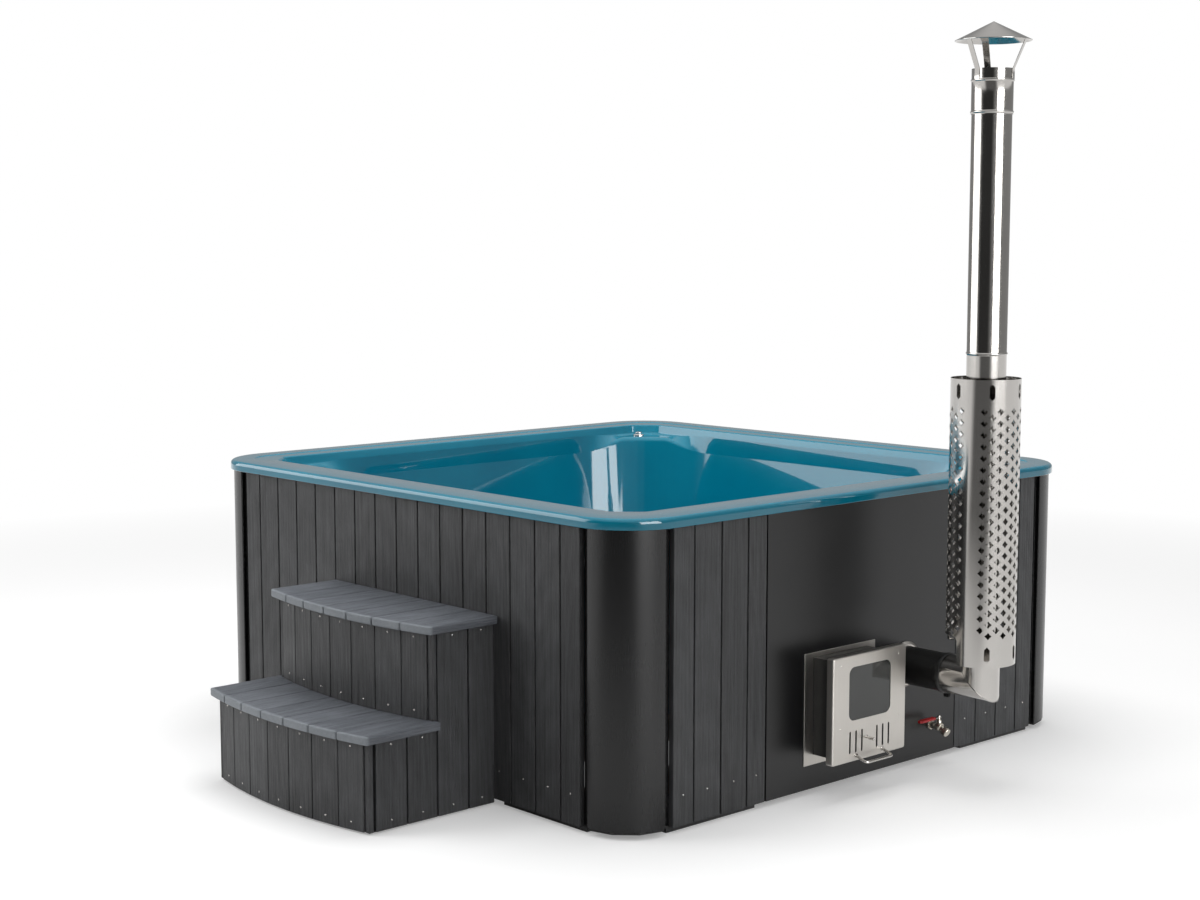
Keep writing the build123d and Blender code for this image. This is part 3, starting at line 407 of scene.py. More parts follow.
def make_gelcoat():
    """Glossy pigmented gelcoat with a faint pearl and a slight orange peel."""
    material, graph, shader, place = new_material("teal_gelcoat", Coat_Weight=1.0, Coat_Roughness=0.02,
                                                  Specular_IOR_Level=0.1)
    smudge = graph.group("smudge", Place=place, Size=2.2)
    pearl = graph.add("ShaderNodeTexVoronoi", {"Vector": place, "Scale": 900.0}).outputs["Color"]
    shimmer = graph.math("MULTIPLY", graph.add("ShaderNodeSeparateColor", {0: pearl}).outputs[0], 0.25)
    tone = graph.math("MULTIPLY_ADD", smudge["Patches"], 0.5, shimmer)
    feed(graph, graph.mix(tone, colour(0, 112, 138), colour(0, 134, 158)), shader, "Base Color")
    feed(graph, graph.remap(tone, 0.0, 1.0, 0.14, 0.22), shader, "Roughness")
    peel = graph.noise(place, 45.0, 2.0)
    bump(graph, shader, peel, 0.02, 0.001)
    return material


def make_glass():
    """Dark heat-proof stove glass with a little soot towards the bottom."""
    material, graph, shader, place = new_material("smoked_glass", Transmission_Weight=0.35, IOR=1.52)
    smudge = graph.group("smudge", Place=place, Size=14.0)
    height = graph.add("ShaderNodeSeparateXYZ", {0: place}).outputs[2]
    soot = graph.math("MULTIPLY", graph.remap(height, 0.26, 0.40, 1.0, 0.2), smudge["Patches"])
    feed(graph, graph.mix(soot, colour(74, 76, 74), colour(52, 52, 50)), shader, "Base Color")
    feed(graph, graph.remap(soot, 0.0, 1.0, 0.04, 0.16), shader, "Roughness")
    return material


def plain_finish(name, low, high, rough, size, relief, **more):
    """Cast, moulded or woven finish with patches and a grain of its own."""
    material, graph, shader, place = new_material(name, **more)
    smudge = graph.group("smudge", Place=place, Size=size)
    feed(graph, graph.mix(smudge["Patches"], low, high), shader, "Base Color")
    feed(graph, graph.remap(smudge["Specks"], 0.0, 1.0, rough, rough + 0.15), shader, "Roughness")
    bump(graph, shader, graph.math("ADD", smudge["Specks"], smudge["Patches"]), relief, 0.0004)
    return material


def make_finishes():
    """Every finish of the tub, by the slot it belongs to."""
    group_wood_figure()
    group_smudge()
    group_brushing()
    steel = colour(196, 193, 189)
    return {
        "gelcoat": make_gelcoat(),
        "dark_boards": wood("stained_boards", colour(12, 12, 13), colour(68, 69, 71), False, 0.55, 0.8),
        "tread_boards": wood("grey_treads", colour(74, 78, 84), colour(122, 126, 133), True, 0.55, 0.6, 20.0),
        # Painted shade: the frame finish is near black, so frame parts seen in the gaps under the boards and
        # corner covers take the darkness of the shade there.
        "shade_dark_frame": wood("shade_dark_frame", colour(10, 10, 10), colour(30, 29, 28), False, 0.7, 0.4),
        "frame_timber": wood("frame_timber", colour(120, 96, 66), colour(172, 146, 106), False, 0.7, 0.4),
        "corner_metal": sheet_metal("satin_black_sheet", colour(9, 9, 10), 0.0, 0.27, 0.03, (1, 1, 0.02),
                                    0.02),
        "panel_metal": sheet_metal("charcoal_sheet", colour(15, 15, 16), 0.0, 0.34, 0.04, (1, 1, 0.02), 0.02),
        "black_steel": plain_finish("black_enamel", colour(22, 22, 22), colour(34, 34, 33), 0.32, 9.0, 0.1),
        "stainless": sheet_metal("polished_stainless", steel, 1.0, 0.14, 0.04, (1, 1, 0.01), 0.03),
        "door_glass": make_glass(),
        "rope": plain_finish("fibre_rope", colour(120, 116, 108), colour(170, 166, 156), 0.85, 60.0, 0.8),
        "nickel_brass": plain_finish("nickel_plate", colour(176, 170, 158), colour(206, 200, 188), 0.26, 30.0,
                                     0.1, Metallic=1.0),
        "red_grip": plain_finish("red_grip", colour(176, 20, 26), colour(206, 32, 36), 0.34, 25.0, 0.15),
        "black_plastic": plain_finish("black_plastic", colour(24, 24, 24), colour(36, 36, 36), 0.5, 20.0,
                                      0.2),
        "button_metal": plain_finish("chrome", colour(214, 214, 214), colour(226, 226, 226), 0.08, 30.0, 0.02,
                                     Metallic=1.0),
        "door_steel": sheet_metal("brushed_door_sheet", colour(204, 200, 194), 1.0, 0.36, 0.05, (1, 1, 0.015),
                                  0.08),
    }


def new_object(name, mesh):
    """An object of the scene that shows a mesh."""
    made = bpy.data.objects.new(name, mesh)
    bpy.context.scene.collection.objects.link(made)
    return made


def mesh_of(name, points, faces):
    """A mesh from its points and the faces between them."""
    mesh = bpy.data.meshes.new(name)
    mesh.from_pydata([tuple(map(float, point)) for point in points], [], faces)
    mesh.validate()
    mesh.update()
    return mesh


def soften(piece, edge, angle=32.0, steps=2):
    """Round the sharp edges a little and shade the faces evenly."""
    piece.data.shade_smooth()
    piece.data.set_sharp_from_angle(angle=math.radians(angle))
    if edge:
        rounding = piece.modifiers.new("eased edges", "BEVEL")
        rounding.width = edge
        rounding.segments = steps
        rounding.limit_method = "ANGLE"
        rounding.angle_limit = math.radians(angle)
        rounding.harden_normals = False
        even = piece.modifiers.new("even shading", "WEIGHTED_NORMAL")
        even.keep_sharp = True
    return piece


def fit(piece, slot, *stands_for, body=None, finish=None):
    """Finish a piece, let it ride on its body and stand for CAD nodes."""
    piece.data.materials.clear()
    piece.data.materials.append(finishes[finish or slot])
    if body is None:
        body = body_of(nodes[stands_for[0]])[0] if stands_for else "tub"
    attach(piece, body)
    if stands_for:
        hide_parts(*stands_for)
    return piece


def welded_form(node):
    """Editable copy of a node's mesh, joined along the edges of its faces."""
    form = bmesh.new()
    form.from_mesh(nodes[node].data)
    bmesh.ops.remove_doubles(form, verts=form.verts, dist=weld_reach)
    return form


def separate_solids(form):
    """Vertices of each separate solid, in the order in which the mesh lists them."""
    reached = set()
    solids = []
    for first in form.verts:
        if first in reached:
            continue
        reached.add(first)
        solid = [first]
        for vertex in solid:
            for edge in vertex.link_edges:
                other = edge.other_vert(vertex)
                if other not in reached:
                    reached.add(other)
                    solid.append(other)
        solids.append(solid)
    return solids


def clean_solid(node):
    """A node's solids as whole flat faces, with each solid numbered."""
    form = welded_form(node)
    bmesh.ops.dissolve_limit(form, angle_limit=math.radians(0.5), verts=form.verts, edges=form.edges)
    number = form.verts.layers.float.new("board_number")
    middle = form.verts.layers.float_vector.new("board_centre")
    for solid in separate_solids(form):
        value = pick.random()
        centre = sum((vertex.co for vertex in solid), Vector()) / len(solid)
        for vertex in solid:
            vertex[number] = value
            vertex[middle] = centre
    mesh = bpy.data.meshes.new(node + "_form")
    form.to_mesh(mesh)
    form.free()
    if "custom_normal" in mesh.attributes:
        mesh.attributes.remove(mesh.attributes["custom_normal"])
    return mesh


def add_piece(name, mesh, slot, *stands_for, edge=0, angle=40.0, steps=2, body=None, finish=None):
    """A new piece with eased edges and its finish, in the place of the CAD nodes it stands for."""
    piece = soften(new_object(name, mesh), edge, angle, steps)
    return fit(piece, slot, *stands_for, body=body, finish=finish)


def dress(node, name, slot, edge=0.001, finish=None):
    """A node's own form with eased edges and its finish."""
    return add_piece(name, clean_solid(node), slot, node, edge=edge, angle=32.0, finish=finish)


def repaint(slot, *names):
    """Put a finish on CAD nodes that keep their shape."""
    for name in names:
        nodes[name].data.materials.clear()
        nodes[name].data.materials.append(finishes[slot])


def centre_of(node):
    """Middle of a node's box."""
    low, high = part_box(node)
    return (low + high) / 2


def turn_corner(before, corner, after, radius, steps):
    """Points of a round corner between straight runs, for one or many profiles."""
    before, corner, after = (np.asarray(part, float) for part in (before, corner, after))
    back = before - corner
    ahead = after - corner
    back_length = np.linalg.norm(back, axis=-1, keepdims=True)
    ahead_length = np.linalg.norm(ahead, axis=-1, keepdims=True)
    back = back / back_length
    ahead = ahead / ahead_length
    cosine = np.clip(np.sum(back * ahead, axis=-1, keepdims=True), -0.9999, 0.9999)
    half = np.arccos(cosine) / 2
    reach = np.minimum(radius / np.tan(half), 0.48 * np.minimum(back_length, ahead_length))
    start = corner + back * reach
    end = corner + ahead * reach
    weight = np.sin(half)
    points = []
    for step in range(steps + 1):
        share = step / steps
        one = (1 - share) ** 2
        two = 2 * share * (1 - share) * weight
        three = share ** 2
        points.append((one * start + two * corner + three * end) / (one + two + three))
    return points


def eased_loop(corners, radius, steps=6):
    """Closed outline with round corners."""
    points = []
    count = len(corners)
    for number in range(count):
        after = corners[(number + 1) % count]
        points += turn_corner(corners[number - 1], corners[number], after, radius, steps)
    return points


def eased_path(corners, radius, steps=6):
    """Open path with round corners."""
    points = [np.asarray(corners[0], float)]
    for before, corner, after in zip(corners[:-2], corners[1:-1], corners[2:]):
        points += turn_corner(before, corner, after, radius, steps)
    return points + [np.asarray(corners[-1], float)]


def rectangle(half_width, half_height, x=0.0, y=0.0):
    """Corners of a rectangle round a middle point."""
    return [(x - half_width, y - half_height), (x + half_width, y - half_height),
            (x + half_width, y + half_height), (x - half_width, y + half_height)]


def join_rings(name, rings, close=False, cap_first=False, cap_last=False):
    """Skin over rings of equally many points; closing joins the last to the first."""
    count = len(rings[0])
    points = [point for ring in rings for point in ring]
    faces = []
    pairs = len(rings) if close else len(rings) - 1
    for number in range(pairs):
        low = number * count
        high = ((number + 1) % len(rings)) * count
        for step in range(count):
            after = (step + 1) % count
            faces.append((low + step, low + after, high + after, high + step))
    if cap_first:
        faces.append(tuple(reversed(range(count))))
    if cap_last:
        faces.append(tuple(range(len(points) - count, len(points))))
    return mesh_of(name, points, faces)


def face_outward(mesh):
    """Turn every face of a closed mesh outward."""
    form = bmesh.new()
    form.from_mesh(mesh)
    bmesh.ops.recalc_face_normals(form, faces=form.faces)
    form.to_mesh(mesh)
    form.free()
    return mesh


def capped(name, rings):
    """Closed skin over rings, with a flat face at each end."""
    return face_outward(join_rings(name, rings, cap_first=True, cap_last=True))


def lathe(name, profile, place=Matrix.Identity(4), sides=64, closed=False):
    """Turned form: (radius, height) points round the place's own Z axis."""
    rings = []
    for radius, height in profile:
        ring = []
        for side in range(sides):
            turn = 2 * math.pi * side / sides
            ring.append(place @ Vector((radius * math.cos(turn), radius * math.sin(turn), height)))
        rings.append(ring)
    mesh = join_rings(name, rings, close=closed, cap_first=not closed, cap_last=not closed)
    return face_outward(mesh)


def turned_piece(name, profile, place, slot, node, angle=40.0, finish=None, sides=round_sides, closed=True):
    """A turned form as the piece that stands for a node."""
    return add_piece(name, lathe(name, profile, place, sides, closed), slot, node, angle=angle, finish=finish)


def upright(x, y):
    """Place whose own Z axis stands on the floor at a point."""
    return Matrix.Translation((x, y, 0.0))


def along_x(x, y, z):
    """Place whose own Z axis points along +X."""
    return Matrix.Translation((x, y, z)) @ Matrix.Rotation(math.pi / 2, 4, "Y")


def facing_x(x, y, z):
    """Place that stands a flat drawing up, across and upward, to face +X."""
    return Matrix.Translation((x, y, z)) @ Matrix(((0, 0, 1, 0), (1, 0, 0, 0), (0, 1, 0, 0), (0, 0, 0, 1)))


def filled_sheet(name, outline, holes, thickness, place):
    """Flat sheet with holes, pushed along the place's Z axis by its thickness."""
    curve = bpy.data.curves.new(name, "CURVE")
    curve.dimensions = "2D"
    curve.fill_mode = "BOTH"
    curve.extrude = thickness / 2
    for loop in [outline] + holes:
        spline = curve.splines.new("POLY")
        spline.points.add(len(loop) - 1)
        for point, (x, y) in zip(spline.points, loop):
            point.co = (x, y, 0.0, 1.0)
        spline.use_cyclic_u = True
    holder = bpy.data.objects.new(name, curve)
    mesh = bpy.data.meshes.new_from_object(holder)
    bpy.data.objects.remove(holder)
    bpy.data.curves.remove(curve)
    form = bmesh.new()
    form.from_mesh(mesh)
    bmesh.ops.remove_doubles(form, verts=form.verts, dist=weld_reach)
    bmesh.ops.transform(form, matrix=place @ Matrix.Translation((0, 0, thickness / 2)), verts=form.verts)
    bmesh.ops.recalc_face_normals(form, faces=form.faces)
    form.to_mesh(mesh)
    form.free()
    return mesh


def bar_mesh(name, path, radius, sides=16):
    """Round bar along a path, with flat ends."""
    rings = []
    up = Vector((0.0, 0.0, 1.0))
    points = [Vector(point) for point in path]
    for number, point in enumerate(points):
        before = points[max(number - 1, 0)]
        after = points[min(number + 1, len(points) - 1)]
        ahead = (after - before).normalized()
        side = ahead.cross(up)
        if side.length < 0.01:
            side = ahead.cross(Vector((0.0, 1.0, 0.0)))
        side.normalize()
        top = side.cross(ahead)
        up = top
        ring = []
        for step in range(sides):
            turn = 2 * math.pi * step / sides
            ring.append(point + (side * math.cos(turn) + top * math.sin(turn)) * radius)
        rings.append(ring)
    return capped(name, rings)


def joined(name, meshes):
    """Several meshes as one."""
    form = bmesh.new()
    for mesh in meshes:
        form.from_mesh(mesh)
    made = bpy.data.meshes.new(name)
    form.to_mesh(made)
    form.free()
    return made


def evaluated(piece):
    """Apply a piece's modifiers to its mesh."""
    depsgraph = bpy.context.evaluated_depsgraph_get()
    mesh = bpy.data.meshes.new_from_object(piece.evaluated_get(depsgraph))
    piece.modifiers.clear()
    piece.data = mesh
    return piece


def cut_away(piece, cutters):
    """Cut closed meshes out of a piece."""
    for cutter in cutters:
        tool = new_object("cutter", cutter)
        cut = piece.modifiers.new("cut", "BOOLEAN")
        cut.object = tool
        cut.solver = "EXACT"
        evaluated(piece)
        bpy.data.objects.remove(tool)
    return piece


def polar_reach(outline, turns):
    """Distance from the middle to a closed outline at each angle."""
    outline = np.asarray(outline, float)
    dense = []
    for start, end in zip(outline, np.roll(outline, -1, axis=0)):
        count = max(1, int(np.linalg.norm(end - start) / 0.004))
        dense += [start + (end - start) * step / count for step in range(count)]
    dense = np.array(dense)
    angles = np.arctan2(dense[:, 1], dense[:, 0]) % (2 * math.pi)
    order = np.argsort(angles)
    return np.interp(turns, angles[order], np.linalg.norm(dense, axis=1)[order], period=2 * math.pi)


def square_plan(half, radius):
    """Square with round corners."""
    return eased_loop([(half, half), (-half, half), (-half, -half), (half, -half)], radius, 24)


def mouth_plan(half):
    """Square whose corners are cut flat, with small rounds beside each flat."""
    cut = half - mouth_chamfer
    corners = [(half, cut), (cut, half), (-cut, half), (-half, cut),
               (-half, -cut), (-cut, -half), (cut, -half), (half, -cut)]
    return eased_loop(corners, mouth_fillet, 8)


def shell_turns():
    """Angles round the tub, closest at the corners of the mouth."""
    quarter = np.concatenate([np.arange(0, 8, 2.0), np.arange(8, 38, 1.0), np.arange(38, 52, 0.35),
                              np.arange(52, 82, 1.0), np.arange(82, 90, 2.0)])
    return np.radians(np.concatenate([quarter + 90 * number for number in range(4)]))


def make_shell():
    """Moulded shell from its lip over the rim down to the footwell, and back up outside."""
    rim_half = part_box("shell")[1].x
    top_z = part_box("shell")[1].z
    lip_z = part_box("corner_covers")[1].z - rim_lip
    wall = shell_wall
    turns = shell_turns()

    def level(reach, z):
        return np.stack([reach, np.full(len(turns), z)], axis=1)

    def square(half, corner, z):
        return level(polar_reach(square_plan(half, corner), turns), z)

    def mouth(half, z):
        return level(polar_reach(mouth_plan(half), turns), z)

    def circle(radius, z):
        return level(np.full(len(turns), radius), z)

    mouth_foot = mouth(mouth_half - mouth_draft, ledge_z)
    well_edge = square(well_half, well_corner, ledge_z)
    width = np.clip((mouth_foot[:, 0] - well_edge[:, 0] - 0.008) / ledge_width, 0, 1)
    blend = 1 - width * width * (3 - 2 * width)
    mouth_foot[:, 1] += ledge_rise * blend
    well_edge[:, 1] -= ledge_blend * blend
    inside = [
        (square(rim_half - wall, rim_corner - wall, lip_z), 0.002, 2),
        (square(rim_half, rim_corner, lip_z), 0.003, 3),
        (square(rim_half, rim_corner, top_z), rim_edge_radius, 8),
        (square(bead_half, bead_corner, top_z), 0.004, 3),
        (square(bead_half - bead_slope, bead_corner - bead_slope, rim_flat_z), 0.005, 3),
        (mouth(mouth_half, rim_flat_z), 0.010, 6),
        (mouth_foot, 0.016, 6),
        (well_edge, 0.024, 8),
        (square(well_half - well_draft, well_corner, bench_z), 0.075, 10),
        (circle(footwell_radius, bench_z), 0.035, 8),
        (circle(footwell_radius - footwell_draft, floor_z), 0.060, 8),
        (circle(floor_hub, floor_z), 0.0, 0),
    ]
    outside = [
        (circle(floor_hub, floor_z - wall), 0.0, 0),
        (circle(footwell_radius - footwell_draft + wall, floor_z - wall), 0.06, 4),
        (circle(footwell_radius + wall, bench_z - wall), 0.03, 3),
        (square(well_half - well_draft + wall, well_corner + wall, bench_z - wall), 0.07, 5),
        (square(well_half + wall, well_corner + wall, ledge_z - wall - 0.03), 0.02, 3),
        (mouth(mouth_half - mouth_draft + wall, ledge_z - wall), 0.01, 3),
        (mouth(mouth_half + wall, rim_flat_z - wall), 0.008, 3),
        (square(rim_half - wall, rim_corner - wall, top_z - wall), 0.008, 3),
    ]
    stations = inside + outside
    profiles = []
    for number, (corner, radius, steps) in enumerate(stations):
        before = stations[number - 1][0]
        after = stations[(number + 1) % len(stations)][0]
        profiles.append(turn_corner(before, corner, after, radius, steps) if steps else [corner])
    rings = []
    for part in profiles[len(inside):] + profiles[:len(inside)]:
        for profile in part:
            rings.append([(reach * math.cos(turn), reach * math.sin(turn), z)
                          for (reach, z), turn in zip(profile, turns)])
    piece = new_object("tub_shell", capped("tub_shell", rings))
    pipes_low, pipes_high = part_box("circulation_pipes")
    bores = []
    for z in (pipes_low.z + pipe_half, pipes_high.z - pipe_half):
        bores.append(lathe("bore", [(pipe_bore, 0.4), (pipe_bore, pipes_high.x)], along_x(0, 0, z), 32))
    drain = centre_of("drain_grille")
    bores.append(lathe("bore", [(drain_bore, floor_z - 0.03), (drain_bore, floor_z + 0.01)],
                       upright(drain.x, drain.y), 32))
    cut_away(piece, bores)
    fit(soften(piece, 0, 40), "gelcoat", "shell")


def make_corner_covers():
    """Rounded corner sheets whose folded edges lie on the rails behind the boards."""
    low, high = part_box("corner_covers")
    half_sheet = cover_sheet / 2
    centre = high.x - cover_radius
    back = high.x - cover_depth + half_sheet
    face = high.x - half_sheet
    path = [(centre - cover_groove, back), (centre - half_sheet, back), (centre - half_sheet, face),
            (centre + 0.004, face)]
    half = eased_path(path, cover_fold, 4)[:-1]
    arc = []
    for step in range(37):
        turn = math.radians(90 - 2.5 * step)
        arc.append(centre + (cover_radius - half_sheet) * np.array((math.cos(turn), math.sin(turn))))
    other = [point[::-1] for point in reversed(half)]
    route = np.array(half + arc + other)
    ahead = np.gradient(route, axis=0)
    ahead /= np.linalg.norm(ahead, axis=1, keepdims=True)
    sideways = np.stack([-ahead[:, 1], ahead[:, 0]], axis=1) * half_sheet
    outline = np.concatenate([route + sideways, (route - sideways)[::-1]])
    meshes = []
    for quarter in range(4):
        rotate = Matrix.Rotation(math.radians(90 * quarter), 4, "Z")
        rings = [[rotate @ Vector((x, y, z)) for x, y in outline] for z in (low.z, high.z)]
        meshes.append(capped("cover", rings))
    add_piece("corner_cover_sheets", joined("corner_cover_sheets", meshes), "corner_metal", "corner_covers",
              edge=0.0006, angle=34)


def mark_points(mesh, name, kind, field, values):
    """Store a value or a place at every point of a mesh."""
    mesh.attributes.new(name, kind, "POINT").data.foreach_set(field, values)


def tread(node, name):
    """Bowed tread of boards that run front to back, with rounded front edges."""
    low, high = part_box(node)
    half = (high.x - low.x) / 2
    middle = (high.x + low.x) / 2
    radius = (half * half + tread_bow * tread_bow) / (2 * tread_bow)
    centre_y = low.y + radius

    def front(x):
        return centre_y - math.sqrt(radius * radius - (x - middle) ** 2)

    width = 2 * half / tread_boards
    meshes = []
    for number in range(tread_boards):
        x0 = low.x + number * width + (tread_gap / 2 if number else 0)
        x1 = low.x + (number + 1) * width - (tread_gap / 2 if number < tread_boards - 1 else 0)
        run = [(x, front(x)) for x in (x0 + (x1 - x0) * step / 8 for step in range(9))]
        outline = run + [(x1, high.y), (x0, high.y)]
        mesh = capped("board", [[(x, y, z) for x, y in outline] for z in (low.z, high.z)])
        count = len(mesh.vertices)
        centre = [(x0 + x1) / 2, (low.y + high.y) / 2, (low.z + high.z) / 2]
        reach = [(high.y - vertex.co.y) / (high.y - front(vertex.co.x)) for vertex in mesh.vertices]
        mark_points(mesh, "board_number", "FLOAT", "value", [pick.random()] * count)
        mark_points(mesh, "board_centre", "FLOAT_VECTOR", "vector", centre * count)
        # front_edge runs from 0 at the back to 1 at the front edge; the tread finish paints a highlight along
        # that edge from it.
        mark_points(mesh, "front_edge", "FLOAT", "value", reach)
        meshes.append(mesh)
    add_piece(name, joined(name, meshes), "tread_boards", node, edge=tread_edge, angle=34, steps=3)


def solids_of(node):
    """Lowest corner, highest corner and points of each separate solid of a node."""
    form = welded_form(node)
    found = []
    for solid in separate_solids(form):
        points = np.array([vertex.co for vertex in solid])
        found.append((Vector(points.min(0)), Vector(points.max(0)), points))
    form.free()
    found.sort(key=lambda item: tuple(round(value, 4) for value in item[0]))
    return found


def screw_head(place, outward):
    """Domed screw head with a sunk middle, its face pointing outward."""
    turn = Vector((0, 0, 1)).rotation_difference(Vector(outward)).to_matrix().to_4x4()
    shares = ((1, -0.0004), (1, 0.0003), (0.86, 0.0009), (0.55, 0.0013), (0.42, 0.0013), (0.30, 0.0004))
    profile = [(screw_radius * share, height) for share, height in shares]
    return lathe("screw", profile, Matrix.Translation(place) @ turn, 12)


def make_screws():
    """Screws through the boards into the bearers and the step rails."""
    heads = []
    walls = (("front_boards", 1, -1), ("back_boards", 1, 1), ("left_boards", 0, -1), ("right_boards", 0, 1))
    for node, axis, sign in walls:
        for low, high, _ in solids_of(node):
            place = (low + high) / 2
            place[axis] = (high if sign > 0 else low)[axis]
            place.z = wall_screw_z
            outward = Vector((0, 0, 0))
            outward[axis] = sign
            heads.append(screw_head(place, outward))
    below_top, above_foot = side_screw_insets
    for low, high, _ in solids_of("step_side_boards"):
        side = 1 if low.x > 0 else -1
        x = high.x if side > 0 else low.x
        for z in (high.z - below_top, low.z + above_foot):
            heads.append(screw_head(Vector((x, (low.y + high.y) / 2, z)), (side, 0, 0)))
    below_top, above_foot = riser_screw_insets
    for node in ("lower_riser_boards", "upper_riser_boards"):
        for low, high, points in solids_of(node):
            plan = sorted({(round(x, 5), round(y, 5)) for x, y, _ in points})
            start = np.array(min(plan[:2], key=lambda item: item[1]))
            end = np.array(min(plan[2:], key=lambda item: item[1]))
            along = (end - start) / np.linalg.norm(end - start)
            outward = Vector((along[1], -along[0], 0))
            spot = (start + end) / 2
            for z in (high.z - below_top, low.z + above_foot):
                heads.append(screw_head(Vector((spot[0], spot[1], z)), outward))
    add_piece("board_screws", joined("board_screws", heads), "stainless", angle=50)


def make_door():
    """Folded door sheet with rounded edges, window, six air slots and the peg's slot."""
    low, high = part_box("door_pan")
    y = (low.y + high.y) / 2
    z = (low.z + high.z) / 2
    half_width = (high.y - low.y) / 2
    half_height = (high.z - low.z) / 2
    face_x = high.x
    inset = door_face_inset
    outline = eased_loop(rectangle(half_width - inset, half_height - inset), door_corner - inset, 4)
    window = rectangle(window_half_width, window_half_height, 0, window_middle_z - z)
    holes = [eased_loop(window, window_corner, 8)]
    slot_half = (slot_high_z - slot_low_z) / 2
    slot_z = (slot_low_z + slot_high_z) / 2 - z
    for group in (-slot_group, slot_group):
        for step in (-1, 0, 1):
            slot = rectangle(slot_half_width, slot_half, group + step * slot_pitch, slot_z)
            holes.append(eased_loop(slot, slot_half_width * 0.98, 5))
    peg = centre_of("damper_peg")
    slot = rectangle(peg_slot_half_width, peg_slot_half_height, peg.y + peg_slot_shift - y, peg.z - z)
    holes.append(eased_loop(slot, 0.003, 4))
    sheet = filled_sheet("door_face", outline, holes, door_sheet, facing_x(face_x - door_sheet, y, z))
    add_piece("door_face", sheet, "stainless", "door_pan", edge=0.0005, finish="door_steel")
    section = [(0.0, low.x), (0.0, face_x - door_fold)]
    for turn in (math.radians(15 * step) for step in range(1, 7)):
        section.append((door_fold * (1 - math.cos(turn)), face_x - door_fold * (1 - math.sin(turn))))
    section += [(inset + 0.0002, face_x), (inset + 0.0002, face_x - door_sheet),
                (door_sheet, face_x - inset), (door_sheet, low.x)]
    rings = []
    for depth, x in section:
        corners = rectangle(half_width - depth, half_height - depth)
        rings.append([(x, y + u, z + v) for u, v in eased_loop(corners, max(door_corner - depth, 0.001), 5)])
    edge = face_outward(join_rings("door_folded_edge", rings, close=True))
    add_piece("door_folded_edge", edge, "stainless", angle=35, body="fire_door", finish="door_steel")
    make_window(y)
    make_rivets(face_x, y)


def make_window(y):
    """Pane behind the window."""
    low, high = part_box("door_glass")
    outline = eased_loop(rectangle((high.y - low.y) / 2, (high.z - low.z) / 2), pane_corner, 6)
    place = facing_x(low.x, y, (low.z + high.z) / 2)
    pane = filled_sheet("window_pane", outline, [], high.x - low.x, place)
    add_piece("window_pane", pane, "door_glass", "door_glass", edge=0.0004)


def make_rivets(face_x, y):
    """Four flush rivets near the door's corners."""
    profile = [(0.0036, 0), (0.0036, 0.0005), (0.0026, 0.0011), (0.001, 0.0014)]
    heads = []
    for side in (-1, 1):
        for z in rivet_heights:
            heads.append(lathe("rivet", profile, along_x(face_x - 0.0003, y + side * rivet_reach, z), 20))
    add_piece("door_rivets", joined("door_rivets", heads), "stainless", body="fire_door", finish="door_steel")


def make_door_fittings():
    """Bent handle with its washers, and the damper peg with its turned knob."""
    low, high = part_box("door_handle")
    face_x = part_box("door_pan")[1].x
    bar_x = high.x - handle_radius
    bar_z = low.z + handle_radius
    leg_z = high.z - handle_washer
    legs = (low.y + handle_washer, high.y - handle_washer)
    path = [(face_x - 0.0005, legs[0], leg_z), (bar_x, legs[0], bar_z), (bar_x, legs[1], bar_z),
            (face_x - 0.0005, legs[1], leg_z)]
    meshes = [bar_mesh("bar", eased_path(path, handle_bend, 8), handle_radius, 20)]
    washer = [(handle_washer, 0), (handle_washer, 0.0012), (handle_washer - 0.0008, 0.002),
              (washer_bore, 0.002)]
    for leg in legs:
        meshes.append(lathe("washer", washer, along_x(face_x, leg, leg_z), 32))
    add_piece("lift_handle", joined("lift_handle", meshes), "stainless", "door_handle")
    low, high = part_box("damper_peg")
    middle = centre_of("damper_peg")
    reach = high.x - low.x
    corners = [(0.0005, 0), (peg_radius, 0), (peg_radius, reach - knob_length),
               (knob_radius, reach - knob_length + 0.003), (knob_radius, reach - 0.002),
               (0.0035, reach), (0.0005, reach)]
    turned_piece("damper_peg_rod", eased_path(corners, 0.0008, 3), along_x(low.x, middle.y, middle.z),
                 "stainless", "damper_peg", angle=50, sides=24, closed=False)


def flue_profile(radius, low, high, beads=()):
    """Profile of a thin pipe with rolled beads."""
    profile = [(radius - flue_sheet, low), (radius, low)]
    for bead in beads:
        for step in range(-4, 5):
            swell = roll_swell * (0.5 + 0.5 * math.cos(math.pi * step / 4))
            profile.append((radius + swell, bead + step * roll_step))
    return profile + [(radius, high), (radius - flue_sheet, high)]


def make_flue():
    """Wall collar, black pipe, joint clamp, mitred elbow and the chimney pipes."""
    pipe_low, pipe_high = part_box("flue_pipe")
    middle = centre_of("flue_pipe")
    radius = (pipe_high.z - pipe_low.z) / 2
    bore = radius + flue_fit
    start = along_x(0, middle.y, middle.z)
    low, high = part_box("wall_collar")
    ring = (high.z - low.z) / 2
    profile = eased_path([(bore, low.x), (ring, low.x), (ring, low.x + collar_flange),
                          (radius + 0.006, high.x), (bore, high.x)], 0.0015, 3)
    turned_piece("flue_collar", profile, start, "stainless", "wall_collar", finish="door_steel")
    profile = flue_profile(radius, pipe_low.x, pipe_high.x)
    turned_piece("black_flue", profile, start, "black_steel", "flue_pipe")
    make_clamp(radius, middle, start)
    make_elbow(radius, middle)
    make_chimney(radius)


